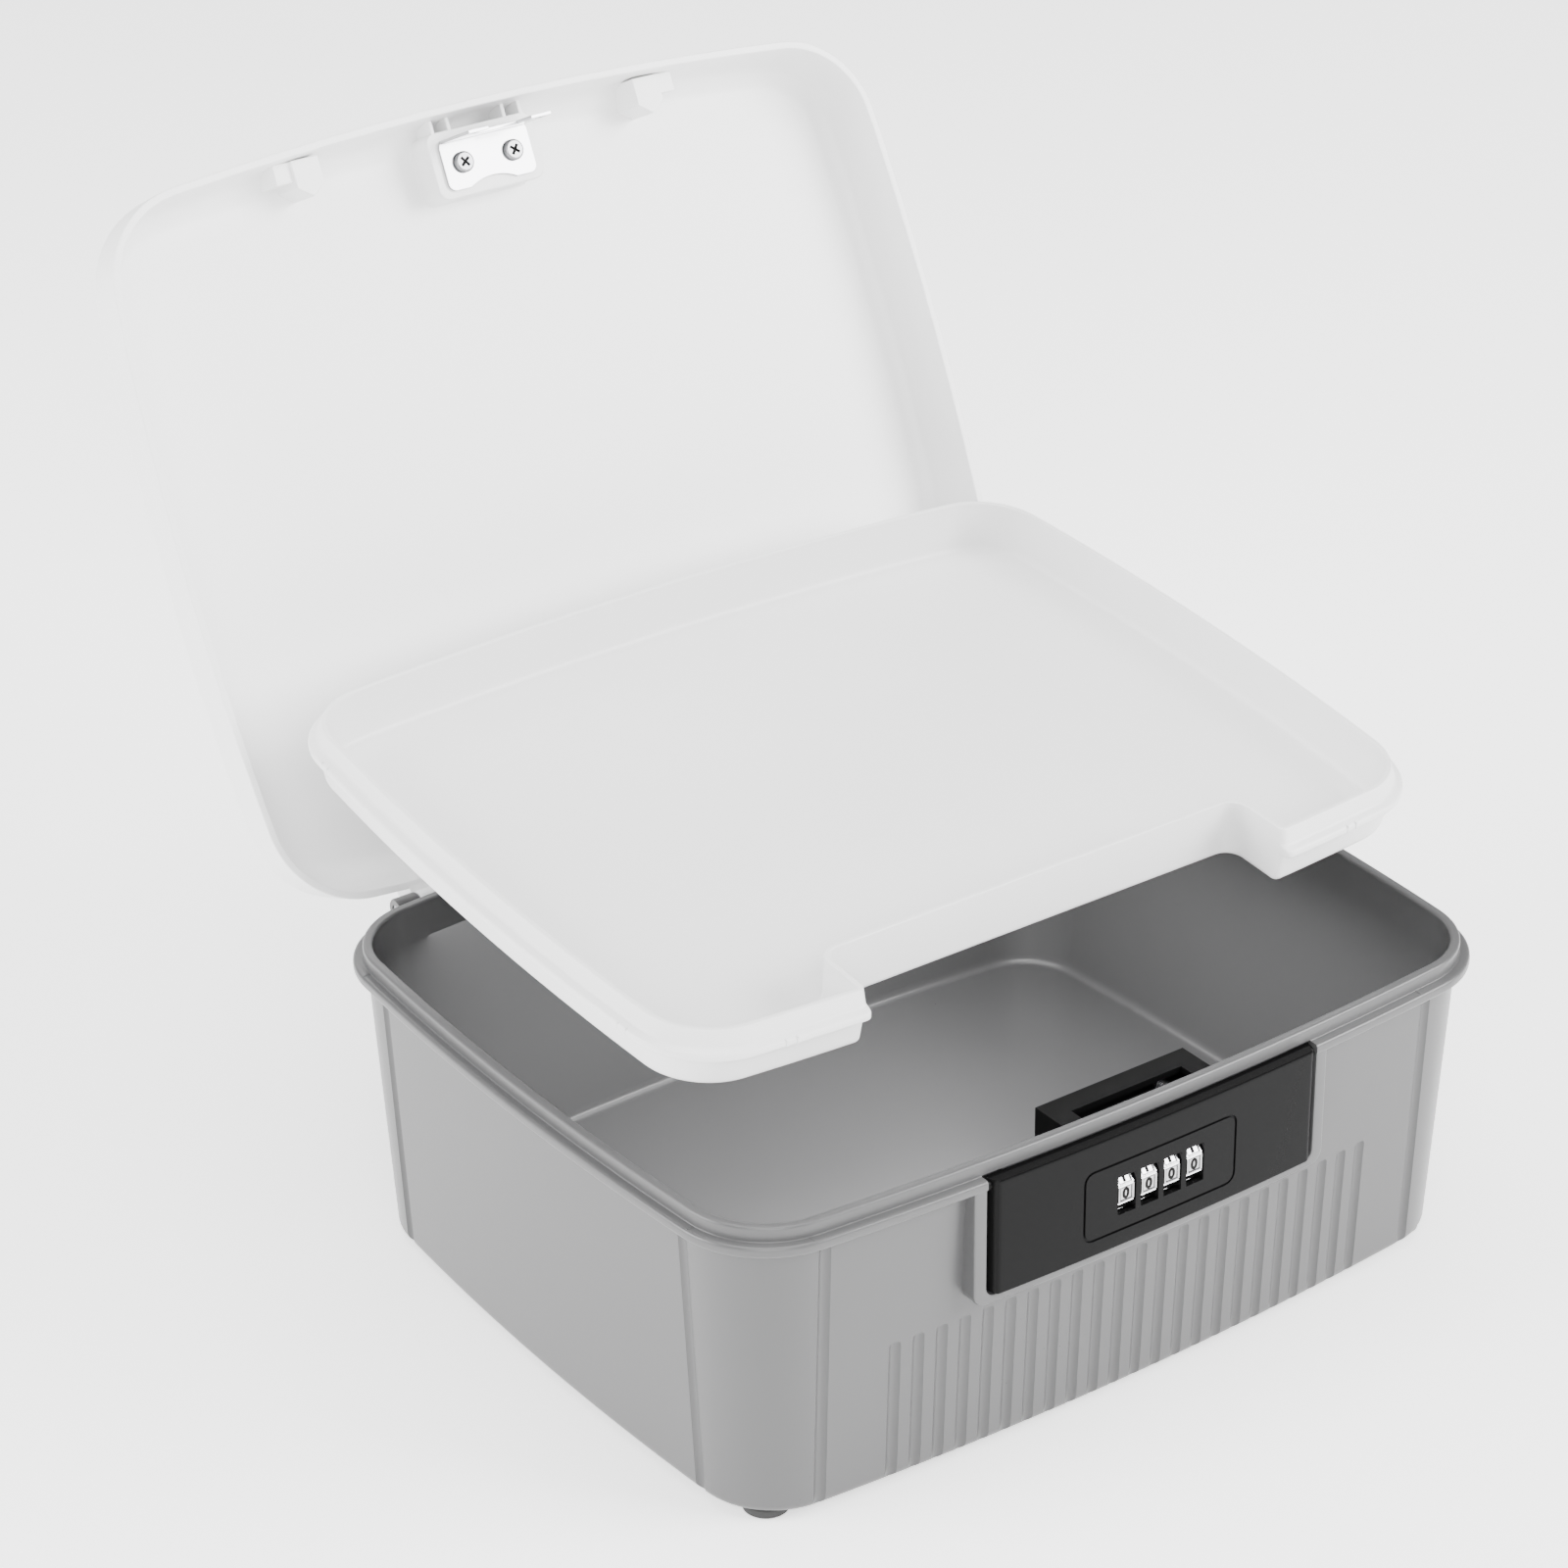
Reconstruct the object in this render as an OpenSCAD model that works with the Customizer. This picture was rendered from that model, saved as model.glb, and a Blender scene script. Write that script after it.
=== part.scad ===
// Household lock box: tapered tub, hinged lid, lift-out tray and a four-wheel number lock.
// Drawn with the lid open and the tray lifted. X runs along the front, Y to the back, Z up.
// The origin is on the ground under the middle of the tub.

/* [Tub] */
// Length over the rim bead
tub_l = 330; // [300:1:380]
// Depth over the rim bead, front to back
tub_w = 267; // [250:1:300]
// Height of the rim top above the ground
tub_h = 117; // [110:1:140]
// Corner radius at the rim bead
corner_r = 35; // [28:1:42]
// How far the long sides bow out
bow_long = 6; // [2:0.5:10]
// How far the short sides bow out
bow_end = 4; // [1:0.5:8]
// How far the foot of the wall stands in from the rim bead
base_inset = 9.5; // [7:0.5:13]
// Wall thickness
wall = 2.6; // [2:0.1:3.2]
// Floor thickness
floor_t = 3; // [2.4:0.1:4]
// Height of the rim bead
bead_h = 4; // [3:0.1:5]
// Height of the lip above the bead
lip_h = 5.2; // [4.4:0.1:6.4]
// Thickness of the lip
lip_t = 3.6; // [3:0.1:4.4]
// How far the lip stands in from the bead
lip_inset = 3.6; // [3.4:0.1:4.4]

/* [Grooves] */
// Number of upright grooves on the front
groove_n = 23; // [15:2:27]
// Distance between the grooves
groove_pitch = 9; // [7:0.1:9.4]
// Depth of a groove
groove_d = 1.3; // [0.8:0.1:1.5]
// Height of the groove tops above the ground
groove_top = 58.3; // [40:0.5:60]

/* [Lid] */
// Angle between the shut lid and the lid as drawn
lid_open = 115.6; // [95:0.1:118]
// Height of the lid
lid_h = 27; // [25:0.1:30]
// Thickness of the lid's skirt
skirt_t = 2.8; // [2.2:0.1:3.2]
// How far the lid's edge overhangs the rim bead
lid_over = 0.6; // [0.2:0.1:1]

/* [Hinges] */
// Distance of each hinge from the end of the tub
hinge_inset = 55; // [53:1:75]
// Length of the lid's knuckle
knuckle_l = 11.4; // [8:0.2:14]
// Radius of the knuckles
knuckle_r = 4.2; // [3.8:0.1:4.5]
// Radius of the hinge pins
hinge_pin_r = 2; // [1.5:0.1:2.3]

/* [Tray] */
// Height of the tray
tray_h = 21; // [18:0.5:24]
// Wall thickness of the tray
tray_t = 1.8; // [1.4:0.1:2.2]
// How far the lifted tray stands behind its seat
tray_back = 30; // [20:0.5:31]
// How far the lifted tray stands above its seat
tray_lift = 54; // [50:0.1:56]
// How far the lifted tray leans forwards
tray_lean = 5.2; // [3:0.1:6]
// Half width of the notch in the tray's front
notch_x = 86; // [86:0.5:94]
// Distance from the tub's middle to the back of the notch
notch_y = 98; // [97:0.5:99]

/* [Lock] */
// Half width of the lock panel
panel_x = 68.2; // [60:0.2:76]
// Height of the lock panel
panel_h = 42.8; // [40:0.1:43]
// Thickness of the lock panel
panel_t = 5.6; // [5.2:0.1:5.8]
// How far the lock panel stands out from the rim bead
panel_proud = 1.4; // [0.8:0.1:1.8]
// Angle that the panel swings in when it is pressed
press_angle = 3.2; // [2:0.1:3.4]
// Width of a number wheel
wheel_w = 6.3; // [5.6:0.1:6.6]
// Radius of a number wheel over its corners
wheel_r = 10.4; // [9.8:0.1:10.5]
// Distance between the number wheels
wheel_pitch = 9.57; // [9.3:0.01:9.8]
// Radius of the wheel axle
axle_r = 1.5; // [1.2:0.1:1.8]
// Half width of the lock housing
housing_x = 31; // [30.6:0.1:33]
// Thickness of the strike plate
strike_t = 1.2; // [1:0.1:1.4]

/* [Feet] */
// Height of a foot
foot_h = 3.5; // [3:0.5:6]
// Radius of a foot
foot_r = 8; // [7:0.5:9]

/* [Hidden] */
$fn = 48;
e = 0.01;          // overlap that makes two shapes one
slip = 0.05;       // radial clearance of a pin in its hole
gap = 0.2;         // clearance between faces that rest on each other

// Colours
grey = "#a5a6a8";
white = "#f1f1f1";
black = "#2b2b2d";
steel = "#c9cacc";

// Outline of the rim: half sizes, the radii of its bowed sides and their centres
half_l = tub_l / 2;
half_w = tub_w / 2;
long_r = (bow_long * bow_long + pow(half_l - corner_r, 2)) / (2 * bow_long);
end_r = (bow_end * bow_end + pow(half_w - corner_r, 2)) / (2 * bow_end);
long_c = half_w - long_r;
end_c = half_l - end_r;
base_gain = 2.9;   // how much rounder the corners are at the floor than at the rim
end_n = 4;
corner_n = 9;
long_n = 6;

// Heights of the tub
bead_top = tub_h - lip_h;
bead_bot = bead_top - bead_h;
floor_z = foot_h + floor_t;
wall_step = 4.8;   // how far the wall under the bead stands in from it
lip_in = lip_inset + lip_t;
base_round = 3;

// Hinge line and lid
hinge_x = half_l - hinge_inset;
hinge_y = half_w + 1;
hinge_z = bead_bot + 0.7;
lid_z = bead_top + gap;
box_knuckle_l = 9;
knuckle_gap = 0.3;
lid_in = skirt_t - lid_over;
panel_in_z = lid_z + lid_h - 2.4;   // underside of the lid's top

// Tray
tray_seat = tub_h + 0.1;            // the bead's underside when the tray is in its place
tray_top = tray_seat + 9.1;
tray_bot = tray_top - tray_h;
notch_r = 6;

// Lock frame, panel and pivot
frame_t = 5;
frame_rail = 3.3;
open_x = panel_x + 0.6;
panel_top = bead_top - 0.6;
panel_z0 = panel_top - panel_h;
open_z0 = panel_z0 - 0.4;
frame_z0 = open_z0 - frame_rail;
panel_face = -panel_proud;
panel_back = panel_face + panel_t;
panel_draft = 2.4;                  // how much narrower the panel's face is than its back, each side
pivot_z = bead_top - 3.1;
pivot_off = 3;
pivot_y = -(bow_y(open_x - 4, pivot_off));
panel_pin_r = 1;
ear_r = 2.1;

// Wheels
wheel_n = 4;
wheel_z = panel_z0 + 19.4;
wheel_in = 8.8;                     // how far the wheels' axle stands in from the bead
wheel_y = -(half_w - wheel_in);
facets = 10;
window_w = wheel_w + 1.1;
window_h = 14.4;
sleeve_r = 4.2;
collar_r = 5.4;
key_w = 1.6;
key_r = 5.4;

// Opening in the tub wall and the housing behind it
slot_x = housing_x - 0.8;
slot_z0 = panel_z0 + 2.2;
slot_z1 = slot_z0 + 34;
housing_t = 1.5;
housing_y0 = -(half_w - 10.1);
housing_y1 = -(half_w - 25.8);
housing_z0 = panel_z0 + 0.3;
housing_z1 = bead_top + 1.2;
roof_t = 2.4;
mouth_x = 23;
mouth_y = housing_y1 - 8.6;
flange_x = 8;
flange_z = wheel_z;
flange_h = 32;
screw_rise = 12;
flange_y = housing_y0 + 3.4;
flange_t = 2.4;
housing_back = 1.6;

// Catch slider, moved by the panel's push bosses
leg_t = 2.7;
leg_x = housing_x - housing_t - 0.4 - leg_t;
leg_y0 = housing_y0 + 3.8;
leg_d = 4.4;
bar_z = wheel_z + wheel_r + 1.8;
bar_h = 8;
bar_d = 3;
hook_x = 14;
hook_w = 4.4;
hook_z = bar_z + 2.5;
hook_h = 3.5;
push_z = panel_z0 + 4.6;
spring_x = 20;
spring_r = 2.5;
spring_z = bar_z + 4;

// Strike on the lid
boss_x = 22.5;
boss_y0 = -(half_w - 7.5);
boss_y1 = -(half_w - 32);
boss_z = lid_z + 11;
strike_x = 18.7;
strike_y0 = leg_y0 - 3;
strike_y1 = strike_y0 + 18.6;
tongue_x = 17.5;
tongue_z = wheel_z + wheel_r + 1.4;
strike_screw_x = 10.6;
strike_screw_y = strike_y0 + 9.2;
block_x = 67;
block_w = 18;

foot_in_x = 28.3;                   // how far the feet stand in from the tub's ends and sides
foot_in_y = 29.5;
foot_x = half_l - foot_in_x;
foot_y = half_w - foot_in_y;
foot_peg_r = 3.5;

// Outward reach of the long side at x, for an outline drawn in by off
function bow_y(x, off) = long_c + sqrt(pow(long_r - off, 2) - x * x);
// Outward reach of the short side at y
function bow_x(y, off) = end_c + sqrt(pow(end_r - off, 2) - y * y);
// How far the outside of the wall is drawn in at height z
function wall_off(z) =
    wall_step + (base_inset - wall_step) * (bead_bot - z) / (bead_bot - foot_h - base_round);
// Extra corner radius at height z
function gain(z) = base_gain * max(0, min(1, (bead_bot - z) / (bead_bot - foot_h)));

// Corner centre: where the circles inside the two bowed sides cross
function corner_c(off, r) =
    let (p = end_r - off - r, q = long_r - off - r, d = norm([end_c, long_c]),
         s = (p * p - q * q + d * d) / (2 * d), h = sqrt(p * p - s * s))
    [end_c - s * end_c / d - h * long_c / d, s * long_c / d - h * end_c / d];

// One quarter of the outline, from the middle of the end to the middle of the long side
function quarter(off, r) =
    let (k = corner_c(off, r), a = atan2(k.y, k.x - end_c), b = atan2(k.y - long_c, k.x),
         er = end_r - off, lr = long_r - off)
    concat([for (i = [0:end_n]) [end_c + er * cos(a * i / end_n), er * sin(a * i / end_n)]],
           [for (i = [1:corner_n]) let (t = a + (b - a) * i / corner_n) k + r * [cos(t), sin(t)]],
           [for (i = [1:long_n]) let (t = b + (90 - b) * i / long_n) [lr * cos(t), long_c + lr * sin(t)]]);

// The whole outline, drawn in by off, with its corners rounder by more
function outline(off, more = 0) =
    let (q = quarter(off, corner_r - off + more), m = len(q) - 1)
    concat([for (i = [0:m - 1]) q[i]], [for (i = [m:-1:1]) [-q[i].x, q[i].y]],
           [for (i = [0:m - 1]) -q[i]], [for (i = [m:-1:1]) [q[i].x, -q[i].y]]);

// A closed solid swept through rings, each given as [drawn in by, height, extra corner radius]
module rings(list) {
    n = len(outline(0));
    m = len(list);
    points = [for (l = list) for (p = outline(l[0], l[2])) [p.x, p.y, l[1]]];
    sides = [for (k = [0:m - 2]) for (i = [0:n - 1]) let (j = (i + 1) % n)
        each [[k * n + i, (k + 1) * n + i, (k + 1) * n + j], [k * n + i, (k + 1) * n + j, k * n + j]]];
    ends = [[for (i = [0:n - 1]) i], [for (i = [n - 1:-1:0]) (m - 1) * n + i]];
    polyhedron(points, concat(sides, ends), convexity = 6);
}

// An upright prism of the outline
module prism(off, z0, z1) {
    translate([0, 0, z0]) linear_extrude(z1 - z0) polygon(outline(off));
}

// A flat rectangle with round corners
module rrect(x0, y0, x1, y1, r) {
    translate([x0 + r, y0]) square([x1 - x0 - 2 * r, y1 - y0]);
    translate([x0, y0 + r]) square([x1 - x0, y1 - y0 - 2 * r]);
    for (x = [x0 + r, x1 - r], y = [y0 + r, y1 - r]) translate([x, y]) circle(r);
}

// The same rectangle stood up in the XZ plane and made thick from y0 to y1
module upright(x0, z0, x1, z1, r, y0, y1) {
    translate([0, y1, 0]) rotate([90, 0, 0]) linear_extrude(y1 - y0) rrect(x0, z0, x1, z1, r);
}

// A box given by its two corners
module block(a, b) {
    translate(a) cube(b - a);
}

// A cylinder along X from x0 to x1
module rod_x(x0, x1, y, z, r) {
    translate([x0, y, z]) rotate([0, 90, 0]) cylinder(h = x1 - x0, r = r);
}

// A cylinder along Y from y0 to y1
module rod_y(y0, y1, x, z, r) {
    translate([x, y0, z]) rotate([-90, 0, 0]) cylinder(h = y1 - y0, r = r);
}

// Pan head screw with a cross recess, head down at z = 0 and shank up
module pan_screw(head_r, head_h, shank_r, shank_l) {
    dome = 0.45 * head_h;
    difference() {
        union() {
            rotate_extrude() polygon([[0, 0], [0, -head_h], [0.45 * head_r, -head_h],
                [0.75 * head_r, -head_h + dome * 0.4], [0.95 * head_r, -head_h + dome], [head_r, 0]]);
            cylinder(h = shank_l, r = shank_r);
        }
        for (a = [0, 90]) rotate(a)
            translate([-0.55 * head_r, -0.11 * head_r, -head_h - e])
                cube([1.1 * head_r, 0.22 * head_r, 0.6 * head_h]);
    }
}

// Places of the lid and the tray as drawn
module lid_place() {
    translate([0, hinge_y, hinge_z]) rotate([-lid_open, 0, 0])
        translate([0, -hinge_y, -hinge_z]) children();
}
module tray_place() {
    translate([0, tray_back, tray_top + tray_lift]) rotate([tray_lean, 0, 0])
        translate([0, 0, -tray_top]) children();
}

// Tub
module tub_shell() {
    rings([
        [base_inset + base_round, foot_h, gain(foot_h)],
        [base_inset + 0.3 * base_round, foot_h + 0.3 * base_round, gain(foot_h)],
        [base_inset, foot_h + base_round, gain(foot_h)],
        [wall_step, bead_bot, 0],
        [1.1, bead_bot, 0],
        [0.3, bead_bot + 0.5, 0],
        [0, bead_bot + 1.4, 0],
        [0, bead_top - 1.4, 0],
        [0.4, bead_top - 0.5, 0],
        [1.4, bead_top, 0],
        [lip_inset, bead_top, 0],
        [lip_inset, tub_h - 1.1, 0],
        [lip_inset + 0.4, tub_h - 0.3, 0],
        [lip_inset + 1.1, tub_h, 0],
        [lip_in - 1.1, tub_h, 0],
        [lip_in - 0.4, tub_h - 0.3, 0],
        [lip_in, tub_h - 1.1, 0],
        [wall_step + wall, bead_bot, 0],
        [base_inset + wall, floor_z + base_round, gain(foot_h)],
        [base_inset + wall + 0.3 * base_round, floor_z + 0.3 * base_round, gain(foot_h)],
        [base_inset + wall + base_round, floor_z, gain(foot_h)]]);
}

// Raised frame round the lock panel, its face level with the rim bead
module lock_frame() {
    back = -bow_y(open_x + frame_t, wall_off(frame_z0) + 0.4);
    intersection() {
        prism(0.2, frame_z0, bead_bot + 1);
        difference() {
            upright(-open_x - frame_t, frame_z0, open_x + frame_t, bead_top + 9, 5, -half_w - 5, back);
            upright(-open_x, open_z0, open_x, bead_top + 9, 3, -half_w - 6, back + 1);
        }
    }
}

// Upright groove at x on the front wall, following the wall's slope
module front_groove(x, top) {
    r = 2.6;
    z0 = foot_h - 1;
    y0 = -bow_y(abs(x), wall_off(z0)) - r + groove_d;
    y1 = -bow_y(abs(x), wall_off(top)) - r + groove_d;
    translate([x, y0, z0]) rotate([atan2(y0 - y1, top - z0), 0, 0])
        cylinder(h = norm([y1 - y0, top - z0]), r = r);
}

// Groove that sets a corner off from an end wall
module end_groove(y) {
    r = 2.6;
    z0 = foot_h - 1;
    top = bead_bot - 0.5;
    x0 = bow_x(abs(y), wall_off(z0)) + r - groove_d;
    x1 = bow_x(abs(y), wall_off(top)) + r - groove_d;
    translate([x0, y, z0]) rotate([0, atan2(x1 - x0, top - z0), 0])
        cylinder(h = norm([x1 - x0, top - z0]), r = r);
}

// Where the corners are set off from the long and the short sides
corner_groove_x = half_l - corner_r - 4;
corner_groove_y = half_w - corner_r - 9;

// Where the housing's screws stand
screw_x = housing_x + flange_x / 2;
screw_z = [flange_z - screw_rise, flange_z + screw_rise];

module box_tub() color(grey) {
    knuckles = [hinge_x - knuckle_l / 2 - knuckle_gap - box_knuckle_l,
                hinge_x + knuckle_l / 2 + knuckle_gap];
    difference() {
        union() {
            tub_shell();
            lock_frame();
            for (s = [-1, 1], k = knuckles) {
                x0 = s > 0 ? k : -k - box_knuckle_l;
                rod_x(x0, x0 + box_knuckle_l, hinge_y, hinge_z, knuckle_r);
                translate([x0, 0, 0]) rotate([90, 0, 90]) linear_extrude(box_knuckle_l)
                    polygon([[half_w - 11, bead_bot - 11], [half_w - 11, bead_bot + 0.1],
                             [hinge_y - 3.9, hinge_z + 1.5], [hinge_y, hinge_z],
                             [hinge_y + 3, hinge_z - 2.9]]);
            }
            // bosses that carry the lock housing
            for (s = [-1, 1], z = screw_z)
                rod_y(-bow_y(screw_x, wall_off(z) + 1), flange_y, s * screw_x, z, 3.6);
        }
        // seat of the panel, cut out of the bead down to the wall
        difference() {
            upright(-open_x, open_z0, open_x, bead_top + 0.4, 3, -half_w - 5, -half_w + 20);
            prism(wall_step + 0.1, 0, tub_h);
        }
        // room behind the panel's ears
        for (s = [-1, 1]) block([s * (open_x - 4.5) - 4.5, -half_w - 5, pivot_z - 3.4],
                                [s * (open_x - 4.5) + 4.5, pivot_y + 3, bead_top + 0.4]);
        for (s = [-1, 1]) rod_x(s * open_x - 4, s * open_x + 4, pivot_y, pivot_z, panel_pin_r + slip);
        // window for the wheels and the push bosses
        block([-slot_x, -half_w - 5, slot_z0], [slot_x, housing_y0 + 2, slot_z1]);
        for (i = [0:groove_n - 1]) front_groove((i - (groove_n - 1) / 2) * groove_pitch, groove_top);
        for (s = [-1, 1], f = [0, 180]) rotate(f) front_groove(s * corner_groove_x, bead_bot - 0.5);
        for (s = [-1, 1], f = [0, 180]) rotate(f) end_groove(s * corner_groove_y);
        for (s = [-1, 1]) rod_x(s * hinge_x - 20, s * hinge_x + 20, hinge_y, hinge_z, hinge_pin_r + slip);
        for (s = [-1, 1], z = screw_z)
            rod_y(flange_y - 5, flange_y + 1, s * screw_x, z, 1.2 + slip);
        for (x = [-foot_x, foot_x], y = [-foot_y, foot_y])
            translate([x, y, foot_h - 1]) cylinder(h = floor_t + 2, r = foot_peg_r);
    }
}

// Lid
module lid_shell() {
    rings([
        [13, panel_in_z, 0],
        [7.5, panel_in_z - 1.6, 0],
        [4.9, panel_in_z - 3.6, 0],
        [lid_in + 1.3, panel_in_z - 7, 0],
        [lid_in, lid_z + 0.6, 0],
        [lid_in - 0.4, lid_z, 0],
        [0.5 - lid_over, lid_z, 0],
        [-lid_over, lid_z + 0.6, 0],
        [1.1 - lid_over, lid_z + lid_h - 8.3, 0],
        [1.7 - lid_over, lid_z + lid_h - 6.4, 0],
        [2.7, lid_z + lid_h - 4.6, 0],
        [4.9, lid_z + lid_h - 3.5, 0],
        [10.6, lid_z + lid_h - 2.1, 0],
        [11.3, lid_z + lid_h - 0.7, 0],
        [12.6, lid_z + lid_h, 0]]);
}

// Room inside the lid, out to the middle of its wall, which the boss and the blocks keep to
module lid_room() {
    rings([
        [0.8, lid_z + 1, 0],
        [2.5 - lid_over, lid_z + lid_h - 8.3, 0],
        [3, lid_z + lid_h - 6.4, 0],
        [4.6, lid_z + lid_h - 4.6, 0],
        [7, lid_z + lid_h - 3.5, 0],
        [9.5, lid_z + lid_h - 2.9, 0],
        [13, panel_in_z + 0.6, 0]]);
}

// Block on the lid's front that stands in the end of the tray's notch, with a wedge and a thin web
module lid_block() {
    z0 = lid_z + 9;
    y0 = -bow_y(block_x + block_w, lid_in + 0.6);
    main_w = 0.62 * block_w;
    translate([block_x, 0, z0]) linear_extrude(panel_in_z - z0 + 0.6)
        polygon([[0, y0], [main_w, y0], [main_w, y0 + 10], [main_w / 2, y0 + 14], [0, y0 + 10]]);
    block([block_x + main_w - e, y0, z0 + 1.5], [block_x + block_w, y0 + 7.5, panel_in_z + 0.6]);
}

module lid_boss() {
    block([-boss_x, boss_y0, boss_z], [boss_x, boss_y1, panel_in_z + 0.6]);
    for (x = [-boss_x + 3, -boss_x + 10, boss_x - 11.5, boss_x - 4.5])
        block([x, -bow_y(boss_x, lid_in + 0.5), boss_z], [x + 1.5, boss_y0 + e, panel_in_z + 0.6]);
}

module lid() color(white) lid_place() {
    difference() {
        union() {
            lid_shell();
            intersection() {
                union() {
                    lid_boss();
                    lid_block();
                    mirror([1, 0, 0]) lid_block();
                }
                lid_room();
            }
            for (s = [-1, 1]) {
                rod_x(s * hinge_x - knuckle_l / 2, s * hinge_x + knuckle_l / 2, hinge_y, hinge_z, knuckle_r);
                translate([s * hinge_x - knuckle_l / 2, 0, 0]) rotate([90, 0, 90]) linear_extrude(knuckle_l)
                    polygon([[half_w - 6.5, lid_z + 0.4], [half_w - 6.5, lid_z + 11],
                             [half_w - 2.2, lid_z + 11], [hinge_y + 3.6, hinge_z + 2.1],
                             [hinge_y, hinge_z], [hinge_y - 3.2, hinge_z + 2.7]]);
            }
        }
        for (s = [-1, 1]) rod_x(s * hinge_x - 20, s * hinge_x + 20, hinge_y, hinge_z, hinge_pin_r + slip);
        for (s = [-1, 1]) translate([s * strike_screw_x, strike_screw_y, boss_z - 1])
            cylinder(h = 9.2, r = 1.6 + slip);
    }
}

// Tray: the outside as one solid, then hollowed
module tray_solid(inside) {
    skin = [
        [11.4, tray_bot, 0],
        [9.9, tray_bot + 0.5, 0],
        [9.4, tray_bot + 1.8, 0],
        [8.1, tray_seat, 0],
        [5, tray_seat, 0],
        [4.4, tray_seat + 0.8, 0],
        [4.4, tray_seat + 2, 0],
        [5.2, tray_seat + 2.9, 0],
        [7.4, tray_seat + 3.7, 0],
        [8.8, tray_top - 0.6, 0],
        [9.3, tray_top, 0]];
    hollow = [
        [9.1 + tray_t - 0.5, tray_top, 0],
        [9.1 + tray_t, tray_top - 0.6, 0],
        [10 + tray_t, tray_bot + tray_t + 3, 0],
        [11.5 + tray_t, tray_bot + tray_t + 0.8, 0],
        [14.5 + tray_t, tray_bot + tray_t, 0]];
    rings(inside ? concat(skin, hollow) : skin);
}

module notch_cut(grow) {
    translate([0, 0, tray_bot - 2]) linear_extrude(tray_h + 4)
        rrect(-notch_x - grow, -half_w - 30, notch_x + grow, -notch_y + grow, notch_r + grow);
}

module tray() color(white) tray_place() {
    difference() {
        union() {
            tray_solid(true);
            intersection() {
                tray_solid(false);
                notch_cut(tray_t);
            }
        }
        notch_cut(0);
    }
}

// Hinge pins
module hinge_pin(s) {
    reach = knuckle_l / 2 + knuckle_gap + box_knuckle_l - 0.4;
    color(steel) rod_x(s * hinge_x - reach, s * hinge_x + reach, hinge_y, hinge_z, hinge_pin_r);
}
module hinge_pin_left() hinge_pin(-1);
module hinge_pin_right() hinge_pin(1);

// Lock panel: a bowed plate with four windows, hung at its top corners
module lock_panel() color(black) {
    side_y = -bow_y(panel_x, panel_back);
    face_x = panel_x - panel_draft;
    difference() {
        union() {
            intersection() {
                difference() {
                    prism(panel_face, panel_z0, panel_top);
                    prism(panel_back, panel_z0 - 1, panel_top + 1);
                }
                upright(-panel_x, panel_z0, panel_x, panel_top + 6, 3, -half_w - 5, -half_w + 20);
                // the sides lean in towards the face
                translate([0, 0, panel_z0 - 1]) linear_extrude(panel_h + 2)
                    polygon([[-panel_x, side_y], [panel_x, side_y],
                             [face_x, side_y - panel_t], [face_x, side_y - 12],
                             [-face_x, side_y - 12], [-face_x, side_y - panel_t]]);
            }
            // ears that hold the pivot pins
            for (s = [-1, 1])
                rod_x(s * (panel_x - 3.5) - 3.5, s * (panel_x - 3.5) + 3.5, pivot_y, pivot_z, ear_r);
            // bosses that push the catch slider
            for (s = [-1, 1])
                block([s * (leg_x + leg_t / 2) - leg_t / 2, -bow_y(leg_x, panel_back - 0.3), push_z - 2],
                      [s * (leg_x + leg_t / 2) + leg_t / 2, leg_y0 - gap, push_z + 2]);
        }
        for (s = [-1, 1])
            rod_x(s * (panel_x - 2) - 2.5, s * (panel_x - 2) + 2.5, pivot_y, pivot_z, panel_pin_r + slip);
        // windows, wider at the back where the wheels come through
        for (i = [0:wheel_n - 1]) {
            x = wheel_x(i);
            block([x - window_w / 2, -half_w - 5, wheel_z - window_h / 2],
                  [x + window_w / 2, -half_w + 10, wheel_z + window_h / 2]);
            rod_x(x - window_w / 2, x + window_w / 2, wheel_y, wheel_z, wheel_r + 0.5);
        }
        // room for the sleeves' collars in the bars between the windows
        rod_x(wheel_x(0), wheel_x(wheel_n - 1) + wheel_pitch - wheel_w / 2, wheel_y, wheel_z, collar_r + 0.4);
        // fine line engraved round the windows
        intersection() {
            difference() {
                upright(-32, wheel_z - 13.4, 32, wheel_z + 13.4, 4, -half_w - 5, -half_w + 9);
                upright(-31.3, wheel_z - 12.7, 31.3, wheel_z + 12.7, 3.3, -half_w - 6, -half_w + 10);
            }
            difference() {
                prism(panel_face - 1, panel_z0, panel_top);
                prism(panel_face + 0.5, panel_z0 - 1, panel_top + 1);
            }
        }
        for (s = [-1, 1])
            rod_y(-half_w + panel_face + 1.2, -half_w + 12, s * cradle_screw_x, wheel_z, 0.9 + slip);
    }
}

function wheel_x(i) = (i - (wheel_n - 1) / 2) * wheel_pitch;

module panel_pin(s) {
    color(steel) rod_x(s * open_x - 3.5, s * open_x + 3.5, pivot_y, pivot_z, panel_pin_r);
}
module panel_pin_left() panel_pin(-1);
module panel_pin_right() panel_pin(1);

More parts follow.
